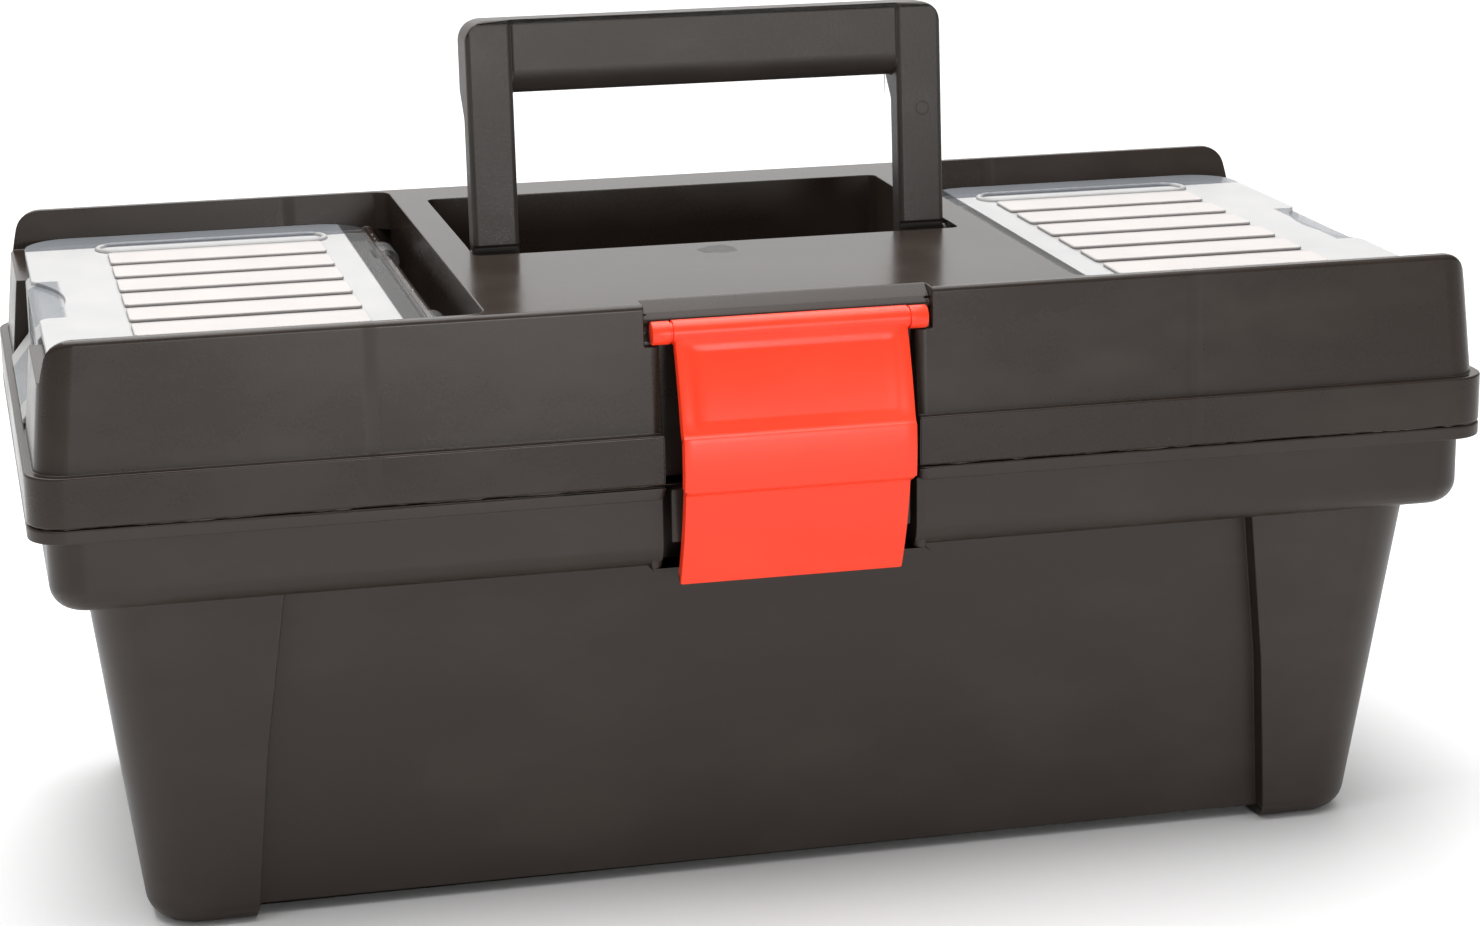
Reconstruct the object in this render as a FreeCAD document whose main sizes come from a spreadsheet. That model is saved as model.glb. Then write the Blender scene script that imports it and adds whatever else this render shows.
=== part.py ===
import FreeCAD, Part
import math
import os
from types import SimpleNamespace

import Sketcher

# A small plastic toolbox with a hinged lid, a fold-down handle, a snap latch,
# two covered compartments in the lid and a lift-out tray.
# Lengths are millimetres and angles degrees. X runs along the box, Y from its
# front to its back and Z up. The origin is on the ground, below its middle.

# Driving sizes: each one is a cell of the sheet, with its name as alias.
SIZES = {
    # Rim: the widest band of the box, where lid and tub meet
    "rim_length": 320.0,
    "rim_width": 158.0,
    "rim_corner": 8.0,
    "parting_level": 96.4,
    "parting_gap": 0.3,
    "rim_edge_round": 0.5,
    "wall": 2.5,
    # Tub: a tapered wall between corner columns
    "foot_end_inset": 21.3,
    "foot_side_inset": 18.5,
    "shoulder_end_inset": 11.8,
    "shoulder_side_inset": 9.7,
    "tub_corner": 12.0,
    "foot_round": 6.0,
    "foot_height": 2.6,
    "column_foot_width": 44.0,
    "column_knee_width": 47.5,
    "column_top_width": 52.2,
    "knee_level": 41.4,
    "column_relief": 4.6,
    # Collar and flange of the tub
    "collar_end_inset": 3.8,
    "collar_side_inset": 2.8,
    "collar_level": 77.0,
    "collar_round": 5.4,
    "flange_level": 93.3,
    # Catch in the channel below the latch
    "channel_width": 55.8,
    "tub_channel_depth": 11.5,
    "catch_width": 52.6,
    "catch_inset": 2.0,
    "catch_thickness": 2.0,
    "catch_level": 83.2,
    "catch_height": 11.7,
    # Lid: rim band, ledge and the upper walls with their rails
    "ledge_level": 107.3,
    "lid_foot_end_inset": 2.0,
    "lid_foot_side_inset": 1.8,
    "lid_top_end_inset": 4.7,
    "lid_top_side_inset": 2.7,
    "lid_top": 134.8,
    "lid_corner": 7.0,
    "rail_end_round": 6.5,
    "rail_edge_round": 1.2,
    "rail_top_thickness": 2.5,
    "rail_foot_thickness": 4.2,
    "lid_floor_level": 100.0,
    # Centre block and handle well
    "block_length": 128.5,
    "block_corner": 4.0,
    "well_length": 113.0,
    "well_front": -13.2,
    "well_back": 59.8,
    "well_corner": 2.0,
    # Compartments in the lid
    "compartment_end_inset": 10.5,
    "compartment_side_inset": 9.5,
    "compartment_corner": 5.0,
    # Covers of the compartments
    "cover_level": 128.0,
    "cover_thickness": 2.0,
    "cover_gap": 0.3,
    "cover_side_gap": 0.6,
    "cover_inner_edge": 71.9,
    "cover_end_inset": 6.8,
    "cover_corner": 11.0,
    "cover_axis_x": 70.0,
    "cover_axis_z": 124.9,
    "hinge_bar_radius": 1.6,
    "hinge_wall_thickness": 2.4,
    "hinge_channel_floor": 115.0,
    "clip_place": 40.0,
    "clip_width": 10.0,
    "clip_side_gap": 1.0,
    "clip_radius": 3.0,
    "clip_mouth": 2.4,
    "running_gap": 0.05,
    "rib_start": 86.0,
    "rib_end_inset": 24.5,
    "rib_pitch": 16.0,
    "rib_groove": 3.0,
    "rib_height": 0.8,
    "ring_start": 83.6,
    "ring_end_inset": 21.5,
    "ring_inner_side": 49.2,
    "ring_outer_side": 58.8,
    "ring_width": 1.8,
    # End flap of a cover, and the nub of the lid that it snaps over
    "flap_width": 64.0,
    "flap_side_gap": 3.0,
    "flap_inset": 5.8,
    "flap_thickness": 2.0,
    "flap_back_gap": 0.5,
    "flap_bend": 2.0,
    "flap_knee_level": 114.0,
    "flap_lip_level": 107.8,
    "flap_lip_inset": 1.6,
    "window_width": 19.0,
    "window_level": 113.6,
    "window_height": 5.4,
    "nub_width": 16.0,
    "nub_height": 3.4,
    "nub_reach": 1.6,
    "scoop_radius": 39.0,
    "scoop_bite": 5.5,
    "scoop_depth": 1.0,
    # Latch: rod, plate with a raised middle band, and hook
    "latch_axis_inset": 2.5,
    "latch_axis_z": 128.8,
    "latch_width": 50.6,
    "latch_thickness": 2.4,
    "rod_radius": 2.6,
    "rod_length": 60.0,
    "notch_width": 62.6,
    "notch_front_inset": 8.5,
    "notch_back_inset": 4.3,
    "shoulder_level": 126.0,
    "lid_channel_depth": 7.0,
    "latch_overhang": 7.4,
    "band_top": 107.9,
    "band_bottom": 96.1,
    "band_inset": 0.4,
    "band_step": 2.5,
    "band_step_height": 1.2,
    "panel_foot_inset": 1.5,
    "panel_foot_rise": 1.9,
    "panel_waist_inset": 4.4,
    "panel_waist_rise": 2.0,
    "tail_waist_inset": 5.2,
    "latch_bottom": 73.5,
    "latch_tip_inset": 2.6,
    "hook_level": 83.0,
    "hook_tip_inset": 5.0,
    "hook_width": 40.0,
    "hook_height": 4.5,
    "hook_slope": 3.0,
    # Handle, drawn upright about its pivot
    "pivot_y": -2.0,
    "pivot_z": 131.5,
    "handle_lean": 3.9,
    "handle_width": 110.8,
    "leg_width": 10.6,
    "handle_front": 3.3,
    "leg_depth": 6.5,
    "grip_depth": 11.5,
    "handle_height": 54.2,
    "flare_start": 31.7,
    "flare_end": 37.8,
    "grip_underside": 37.4,
    "grip_chamfer": 1.0,
    "leg_chamfer": 0.8,
    "handle_corner": 5.0,
    "pivot_radius": 2.2,
    "pivot_length": 4.0,
    "leg_heel_step": 1.0,
    # Rear hinge
    "hinge_overhang": 4.2,
    "hinge_end_inset": 65.0,
    "knuckle_radius": 3.2,
    "knuckle_length": 13.0,
    "knuckle_gap": 0.3,
    "pin_radius": 1.5,
    # Tray that lies on the ledge inside the collar
    "tray_side_gap": 2.0,
    "tray_depth": 34.0,
    "tray_wall": 1.8,
    "tray_corner": 9.0,
    "tray_divider_place": 46.0,
    "tray_divider_height": 26.0,
}

# How far a cutting outline reaches past the material that it cuts.
CLEAR = 5.0

# How far an edge may lie off a level and still count as lying at it.
SLACK = 0.02

# The two ends of the box.
SIDES = ((-1, "left"), (1, "right"))


class Size:
    """A length that knows its value and how the sheet writes it."""

    def __init__(self, value, text):
        self.value = float(value)
        self.text = text

    @staticmethod
    def of(other):
        """Take a plain number as a size."""
        if isinstance(other, Size):
            return other
        return Size(other, repr(float(other)))

    def _join(self, other, sign, value):
        return Size(value, f"({self.text} {sign} {other.text})")

    def __add__(self, other):
        other = Size.of(other)
        return self._join(other, "+", self.value + other.value)

    def __sub__(self, other):
        other = Size.of(other)
        return self._join(other, "-", self.value - other.value)

    def __mul__(self, other):
        other = Size.of(other)
        return self._join(other, "*", self.value * other.value)

    def __truediv__(self, other):
        other = Size.of(other)
        return self._join(other, "/", self.value / other.value)

    def __radd__(self, other):
        return Size.of(other) + self

    def __rsub__(self, other):
        return Size.of(other) - self

    def __rmul__(self, other):
        return Size.of(other) * self

    def __neg__(self):
        return Size(-self.value, f"(-1.0 * {self.text})")


def smaller(first, second):
    """The smaller of two sizes, such as a rounding and the wall that limits it."""
    first, second = Size.of(first), Size.of(second)
    return Size(min(first.value, second.value), f"min({first.text}; {second.text})")


def between(low, high, part, whole):
    """A size that runs straight from low to high, at a part of the whole way."""
    return low + (high - low) * (part / whole)


def sheet_sizes(doc):
    """Write the driving sizes into a sheet and give them back by name."""
    sheet = doc.addObject("Spreadsheet::Sheet", "Sizes")
    names = SimpleNamespace()
    for row, (name, value) in enumerate(SIZES.items(), start=1):
        cell = f"A{row}"
        sheet.set(cell, str(value))
        sheet.setAlias(cell, name)
        setattr(names, name, Size(value, f"Sizes.{name}"))
    doc.recompute()
    follow_rim(names)
    return names


def follow_rim(s):
    """Set the sizes that keep their distance from the ends and sides of the rim."""
    end, side = s.rim_length / 2, s.rim_width / 2
    s.foot_length = (end - s.foot_end_inset) * 2
    s.foot_width = (side - s.foot_side_inset) * 2
    s.shoulder_length = (end - s.shoulder_end_inset) * 2
    s.shoulder_width = (side - s.shoulder_side_inset) * 2
    s.column_start_foot = end - s.column_foot_width
    s.column_start_knee = end - s.column_knee_width
    s.column_start_top = end - s.column_top_width
    s.collar_length = (end - s.collar_end_inset) * 2
    s.collar_width = (side - s.collar_side_inset) * 2
    s.catch_front = side - s.catch_inset
    s.lid_foot_length = (end - s.lid_foot_end_inset) * 2
    s.lid_foot_width = (side - s.lid_foot_side_inset) * 2
    s.lid_top_length = (end - s.lid_top_end_inset) * 2
    s.lid_top_width = (side - s.lid_top_side_inset) * 2
    s.compartment_end = end - s.compartment_end_inset
    s.compartment_half_width = side - s.compartment_side_inset
    s.cover_end = end - s.cover_end_inset
    s.rib_end = end - s.rib_end_inset
    s.ring_end = end - s.ring_end_inset
    s.flap_reach = end - s.flap_inset
    s.flap_lip_reach = end - s.flap_lip_inset
    s.latch_axis_y = s.latch_axis_inset - side
    s.notch_front = s.notch_front_inset - side
    s.notch_back = s.notch_back_inset - side
    s.lid_channel_back = s.lid_channel_depth - side
    s.latch_reach = side + s.latch_overhang
    s.latch_tip = s.latch_tip_inset - side
    s.hook_tip = s.hook_tip_inset - side
    s.hinge_axis_y = side + s.hinge_overhang
    s.hinge_place = end - s.hinge_end_inset


def bind(thing, path, size):
    """Tie one property of a document object to the sheet."""
    thing.setExpression(path, Size.of(size).text)


def arc_between(centre, radius, first, last):
    """The arc about a centre that runs to the left from its first point to its last."""
    circle = Part.Circle(centre, FreeCAD.Vector(0, 0, 1), radius)
    begin = circle.parameter(first)
    finish = circle.parameter(last)
    if finish < begin:
        finish += 2 * math.pi
    return Part.ArcOfCircle(circle, begin, finish)


class Outline:
    """A closed outline in a sketch, with corners that may be rounded.

    corners: pairs of sizes, in order around the outline.
    radii: the rounding of each corner, or None where it is sharp.
    through: for the side after corner k, a point that it bends through.
    """

    def __init__(self, corners, radii=None, through=None):
        self.corners = [(Size.of(x), Size.of(y)) for x, y in corners]
        self.radii = radii or [None] * len(corners)
        self.through = through or {}

    @classmethod
    def rectangle(cls, x_low, x_high, y_low, y_high, radius=None):
        """A rectangle between two pairs of levels, in either order.

        radius: one rounding, or a list that starts at the corner of least X and Y.
        """
        x_low, x_high = sorted((Size.of(x_low), Size.of(x_high)), key=lambda size: size.value)
        y_low, y_high = sorted((Size.of(y_low), Size.of(y_high)), key=lambda size: size.value)
        corners = [(x_low, y_low), (x_high, y_low), (x_high, y_high), (x_low, y_high)]
        return cls(corners, radius if isinstance(radius, list) else [radius] * 4)

    def draw(self, sketch):
        """Add the outline to a sketch and tie it to the sheet."""
        points = [FreeCAD.Vector(x.value, y.value, 0) for x, y in self.corners]
        count = len(points)
        turns = [self._turn(points, k) for k in range(count)]
        sides = [self._side(sketch, points, turns, k) for k in range(count)]
        for k in range(count):
            self._corner(sketch, points[k], turns[k], sides[k - 1], sides[k], k)

    def _turn(self, points, k):
        """Where the rounding of corner k starts, ends and has its centre."""
        if self.radii[k] is None:
            return None
        radius = Size.of(self.radii[k]).value
        here = points[k]
        back = (points[k - 1] - here).normalize()
        ahead = (points[(k + 1) % len(points)] - here).normalize()
        half = back.getAngle(ahead) / 2
        reach = radius / math.tan(half)
        centre = here + (back + ahead).normalize() * (radius / math.sin(half))
        left = back.cross(ahead).z < 0
        return SimpleNamespace(start=here + back * reach, end=here + ahead * reach,
                               centre=centre, radius=radius, left=left)

    def _side(self, sketch, points, turns, k):
        """Add the side from corner k to the next one."""
        after = (k + 1) % len(points)
        start = turns[k].end if turns[k] else points[k]
        end = turns[after].start if turns[after] else points[after]
        if k not in self.through:
            return SimpleNamespace(index=sketch.addGeometry(Part.LineSegment(start, end)),
                                   first=1, last=2)
        x, y = (Size.of(value) for value in self.through[k])
        middle = FreeCAD.Vector(x.value, y.value, 0)
        left = (middle - start).cross(end - middle).z > 0
        bend = Part.Circle(start, middle, end)
        index = sketch.addGeometry(arc_between(bend.Center, bend.Radius,
                                               *((start, end) if left else (end, start))))
        mark = sketch.addGeometry(Part.Point(middle), True)
        self._fix(sketch, mark, 1, x, y)
        sketch.addConstraint(Sketcher.Constraint("PointOnObject", mark, 1, index))
        return SimpleNamespace(index=index, first=1 if left else 2, last=2 if left else 1)

    def _corner(self, sketch, point, turn, before, after, k):
        """Join two sides at corner k, sharp or with a rounding."""
        x, y = self.corners[k]
        if turn is None:
            sketch.addConstraint(Sketcher.Constraint(
                "Coincident", before.index, before.last, after.index, after.first))
            self._fix(sketch, after.index, after.first, x, y)
            return
        mark = sketch.addGeometry(Part.Point(point), True)
        self._fix(sketch, mark, 1, x, y)
        first, last = (turn.start, turn.end) if turn.left else (turn.end, turn.start)
        arc = sketch.addGeometry(arc_between(turn.centre, turn.radius, first, last))
        entry, leave = (1, 2) if turn.left else (2, 1)
        for side in (before, after):
            sketch.addConstraint(Sketcher.Constraint("PointOnObject", mark, 1, side.index))
        sketch.addConstraint(Sketcher.Constraint(
            "Tangent", before.index, before.last, arc, entry))
        sketch.addConstraint(Sketcher.Constraint(
            "Tangent", arc, leave, after.index, after.first))
        row = sketch.addConstraint(Sketcher.Constraint("Radius", arc, turn.radius))
        bind(sketch, f"Constraints[{row}]", self.radii[k])

    @staticmethod
    def _fix(sketch, index, end, x, y):
        """Hold one point of the sketch at two sizes from its origin."""
        for kind, size in (("DistanceX", x), ("DistanceY", y)):
            row = sketch.addConstraint(Sketcher.Constraint(kind, -1, 1, index, end, size.value))
            bind(sketch, f"Constraints[{row}]", size)


class Round:
    """A full circle in a sketch."""

    def __init__(self, x, y, radius):
        self.x, self.y, self.radius = Size.of(x), Size.of(y), Size.of(radius)

    def draw(self, sketch):
        """Add the circle to a sketch and tie it to the sheet."""
        centre = FreeCAD.Vector(self.x.value, self.y.value, 0)
        circle = Part.Circle(centre, FreeCAD.Vector(0, 0, 1), self.radius.value)
        index = sketch.addGeometry(circle)
        Outline._fix(sketch, index, 3, self.x, self.y)
        row = sketch.addConstraint(Sketcher.Constraint("Radius", index, self.radius.value))
        bind(sketch, f"Constraints[{row}]", self.radius)


class Piece:
    """A sub-part that is built up in one body, feature by feature."""

    def __init__(self, doc, label):
        self.doc = doc
        self.body = doc.addObject("PartDesign::Body", label)
        self.body.Label = label

    def _sketch(self, name, plane, level, shapes):
        """A sketch at a level along the plane's normal, or along Y for XZ."""
        sketch = self.body.newObject("Sketcher::SketchObject", f"{self.body.Label}_{name}_outline")
        support = next(item for item in self.body.Origin.OriginFeatures
                       if item.Role == f"{plane}_Plane")
        sketch.AttachmentSupport = [(support, "")]
        sketch.MapMode = "FlatFace"
        level = Size.of(level)
        bind(sketch, "AttachmentOffset.Base.z", -level if plane == "XZ" else level)
        for shape in shapes:
            shape.draw(sketch)
        return sketch

    def _feature(self, kind, name):
        return self.body.newObject(f"PartDesign::{kind}", f"{self.body.Label}_{name}")

    def _settle(self, name, cuts, before):
        """Build the body and see that the last feature changed it the right way."""
        self.doc.recompute()
        for thing in self.doc.Objects:
            if "Invalid" in thing.State or "Error" in thing.State:
                raise RuntimeError(f"{thing.Label}: {thing.State}")
        after = self.body.Shape.Volume
        if (after >= before) if cuts else (after <= before):
            raise RuntimeError(f"{self.body.Label}: {name} changed nothing")

    def _volume(self):
        return self.body.Shape.Volume if self.body.Tip else 0.0

    def prism(self, kind, name, plane, low, high, *shapes):
        """Pad or pocket straight between two levels."""
        before = self._volume()
        sketch = self._sketch(name, plane, high if plane == "XZ" else low, shapes)
        feature = self._feature(kind, name)
        feature.Profile = sketch
        feature.Reversed = kind == "Pocket"
        bind(feature, "Length", Size.of(high) - low)
        self._settle(name, kind == "Pocket", before)

    def add(self, name, plane, low, high, *shapes):
        """Add a straight block."""
        self.prism("Pad", name, plane, low, high, *shapes)

    def cut(self, name, plane, low, high, *shapes):
        """Cut a straight block away."""
        self.prism("Pocket", name, plane, low, high, *shapes)

    def loft(self, kind, name, sections):
        """Add or cut a block with straight sides through outlines at several levels."""
        before = self._volume()
        sketches = [self._sketch(f"{name}_{k}", "XY", level, [shape])
                    for k, (level, shape) in enumerate(sections)]
        feature = self._feature(kind, name)
        feature.Profile = sketches[0]
        feature.Sections = sketches[1:]
        feature.Ruled = True
        self._settle(name, kind == "SubtractiveLoft", before)

    def taper(self, kind, name, low, high, foot, top):
        """Add or cut a block with four sloping flat sides.

        foot and top: the block's least and greatest X and Y at its two levels.
        """
        before = self._volume()
        wedge = self._feature(kind, name)
        wedge.Placement.Rotation = FreeCAD.Rotation(FreeCAD.Vector(1, 0, 0), 90)
        for prefix, limits in (("", foot), ("2", top)):
            x_low, x_high, y_low, y_high = limits
            bind(wedge, f"X{prefix}min", x_low)
            bind(wedge, f"X{prefix}max", x_high)
            bind(wedge, f"Z{prefix}min", -Size.of(y_high))
            bind(wedge, f"Z{prefix}max", -Size.of(y_low))
        bind(wedge, "Ymin", low)
        bind(wedge, "Ymax", high)
        self._settle(name, kind == "SubtractiveWedge", before)

    def round_off(self, name, limits, end, top, radius):
        """Cut the upper left and right corners round, as seen from the front.

        limits: the least and greatest Y of the cut.
        end, top: where both corners would be if they were sharp.
        """
        bend = radius * (1 - math.sqrt(0.5))
        shapes = []
        for side in (-1, 1):
            shapes.append(Outline(
                [((end - radius) * side, top), (end * side, top - radius),
                 ((end + CLEAR) * side, top - radius), ((end + CLEAR) * side, top + CLEAR),
                 ((end - radius) * side, top + CLEAR)],
                through={0: ((end - bend) * side, top - bend)}))
        self.cut(name, "XZ", *limits, *shapes)

    def soften(self, name, test, size, kind="Fillet"):
        """Round or chamfer the edges that pass a test."""
        base = self.body.Tip
        before = self._volume()
        names = [f"Edge{k}" for k, edge in enumerate(base.Shape.Edges, start=1) if test(edge)]
        if not names:
            raise RuntimeError(f"{self.body.Label}: {name} found no edge")
        feature = self._feature(kind, name)
        feature.Base = (base, names)
        bind(feature, "Radius" if kind == "Fillet" else "Size", size)
        self.doc.recompute()
        if abs(self.body.Shape.Volume - before) < 1e-6:
            raise RuntimeError(f"{self.body.Label}: {name} changed nothing")


def lies_at(edge, axis, level):
    """Whether a whole edge lies at one level along an axis."""
    box = edge.BoundBox
    low, high = ((box.XMin, box.XMax), (box.YMin, box.YMax), (box.ZMin, box.ZMax))[axis]
    level = Size.of(level).value
    return abs(low - level) < SLACK and abs(high - level) < SLACK


def stands_up(edge):
    """Whether an edge climbs more than it runs sideways."""
    box = edge.BoundBox
    return box.ZLength > max(box.XLength, box.YLength)


def centred(length, width):
    """The limits of a rectangle about the middle of the box."""
    return -length / 2, length / 2, -width / 2, width / 2


def plan(length, width, radius=None):
    """A rectangle about the middle of the box, rounded or sharp."""
    return Outline.rectangle(-length / 2, length / 2, -width / 2, width / 2, radius)


def build_tub(doc, s):
    """The lower box: tapered wall, corner columns, collar, flange and catch."""
    tub = Piece(doc, "tub")
    top = s.parting_level - s.parting_gap / 2

    def length_at(level):
        return between(s.foot_length, s.shoulder_length, level, s.collar_level)

    def width_at(level):
        return between(s.foot_width, s.shoulder_width, level, s.collar_level)

    tub.taper("AdditiveWedge", "outer_wall", 0, s.collar_level,
              centred(s.foot_length, s.foot_width),
              centred(s.shoulder_length, s.shoulder_width))
    tub.soften("corner_rounding", stands_up, s.tub_corner)
    tub.soften("foot_rounding", lambda edge: lies_at(edge, 2, 0), s.foot_round)

    # The wall between the columns is set back, in front and behind.
    def set_back(level, start, side):
        face = (width_at(level) / 2 - s.column_relief) * side
        past = (s.rim_width / 2 + CLEAR) * side
        return (-start, start, past, face) if side < 0 else (-start, start, face, past)

    column_starts = ((Size.of(0), s.column_start_foot), (s.knee_level, s.column_start_knee),
                     (s.collar_level, s.column_start_top))
    stretches = list(zip(column_starts, column_starts[1:], ("lower", "upper")))
    for side, name in ((-1, "front"), (1, "back")):
        for (low, low_start), (high, high_start), part in stretches:
            tub.taper("SubtractiveWedge", f"{name}_{part}_relief", low, high,
                      set_back(low, low_start, side), set_back(high, high_start, side))

    tub.add("collar", "XY", s.collar_level, top,
            plan(s.collar_length, s.collar_width, s.rim_corner))
    overhang = (s.collar_width - s.shoulder_width) / 2

    def collar_edge(edge):
        centre = edge.CenterOfMass
        return lies_at(edge, 2, s.collar_level) and (
            abs(centre.x) > (s.shoulder_length + s.collar_length).value / 4
            or abs(centre.y) > (s.shoulder_width + s.collar_width).value / 4)

    tub.soften("collar_rounding", collar_edge, smaller(s.collar_round, overhang * 0.95))
    tub.add("flange", "XY", s.flange_level, top, plan(s.rim_length, s.rim_width, s.rim_corner))
    tub.soften("flange_rounding", lambda edge: lies_at(edge, 2, top), s.rim_edge_round)

    # Inside: a cavity that follows the columns, and the wider collar above its ledge.
    floor_level = s.foot_height + s.wall
    ledge = s.collar_level + s.wall

    def inside(level):
        return length_at(level) / 2 - s.wall, width_at(level) / 2 - s.wall

    def middle_room(level):
        reach = s.column_start_foot + s.wall
        waist = inside(level)[1] - s.column_relief
        return -reach, reach, -waist, waist

    tub.taper("SubtractiveWedge", "middle_room", floor_level, ledge,
              middle_room(floor_level), middle_room(ledge))
    floor_start = between(s.column_start_foot, s.column_start_knee, floor_level, s.knee_level)
    ledge_start = between(s.column_start_knee, s.column_start_top,
                          ledge - s.knee_level, s.collar_level - s.knee_level)
    levels = ((floor_level, floor_start), (s.knee_level, s.column_start_knee),
              (ledge, ledge_start))
    corner = s.tub_corner - s.wall
    for side, name in SIDES:
        radii = [None, corner, corner, None] if side > 0 else [corner, None, None, corner]
        sections = []
        for level, start in levels:
            half_length, half_width = inside(level)
            sections.append((level, Outline.rectangle(
                (start + s.wall) * side, half_length * side, -half_width, half_width, radii)))
        tub.loft("SubtractiveLoft", f"{name}_room", sections)
    tub.cut("collar_cavity", "XY", ledge, top,
            plan(s.collar_length - s.wall * 2, s.collar_width - s.wall * 2,
                 s.rim_corner - s.wall))
    tub.cut("underside", "XY", 0, s.foot_height,
            Outline.rectangle(-s.column_start_foot, s.column_start_foot,
                              -s.rim_width / 2, s.rim_width / 2))

    # The latch hangs in a channel through the collar; its back wall is a box inside.
    channel_back = -(s.rim_width / 2 - s.tub_channel_depth)
    half = s.channel_width / 2
    tub.add("channel_box", "XY", s.collar_level, top,
            Outline.rectangle(-half - s.wall, half + s.wall,
                              -s.collar_width / 2 + s.wall / 2, channel_back + s.wall))
    tub.cut("channel", "XY", s.collar_level, top,
            Outline.rectangle(-half, half, -s.rim_width / 2 - CLEAR, channel_back))
    catch_top = s.catch_level + s.catch_height
    tub.add("catch", "YZ", -s.catch_width / 2, s.catch_width / 2, Outline([
        (-s.catch_front, s.catch_level), (-s.catch_front + s.catch_thickness, s.catch_level),
        (-s.catch_front + s.catch_thickness, catch_top - s.catch_thickness),
        (channel_back + s.wall / 2, catch_top - s.catch_thickness),
        (channel_back + s.wall / 2, catch_top), (-s.catch_front, catch_top)]))
    add_knuckles(tub, s, "tub")
    return tub.body


def add_knuckles(piece, s, owner):
    """The hinge knuckles of the tub or the lid, with arms to the rim and a bore."""
    axis_y, axis_z, radius = s.hinge_axis_y, s.parting_level, s.knuckle_radius
    up = 1 if owner == "lid" else -1
    diagonal = radius * math.sqrt(0.5)
    root = s.rim_width / 2 - s.wall / 2
    rim_face = axis_z + s.parting_gap / 2 * up
    half = s.knuckle_length / 2
    outer = half if owner == "lid" else half + s.knuckle_gap + s.knuckle_length
    low, high = -s.hinge_place - outer, s.hinge_place + outer
    piece.add("knuckles", "YZ", low, high, Outline(
        [(root, rim_face), (axis_y - radius, rim_face), (axis_y - radius, axis_z),
         (axis_y, axis_z - radius * up), (axis_y, axis_z + radius * up),
         (root, axis_z + radius * up)],
        through={2: (axis_y - diagonal, axis_z - diagonal * up),
                 3: (axis_y + radius, axis_z)}))
    # What lies between the knuckles is cut away again.
    gaps = [(-s.hinge_place + outer, s.hinge_place - outer)]
    if owner == "tub":
        room = half + s.knuckle_gap
        gaps += [(s.hinge_place * side - room, s.hinge_place * side + room)
                 for side, _ in SIDES]
    piece.cut("knuckle_gaps", "XY", axis_z - radius, axis_z + radius, *[
        Outline.rectangle(first, last, s.rim_width / 2, axis_y + radius + CLEAR)
        for first, last in gaps])
    piece.cut("bore", "YZ", low, high, Round(axis_y, axis_z, s.pin_radius + s.running_gap))


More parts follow.
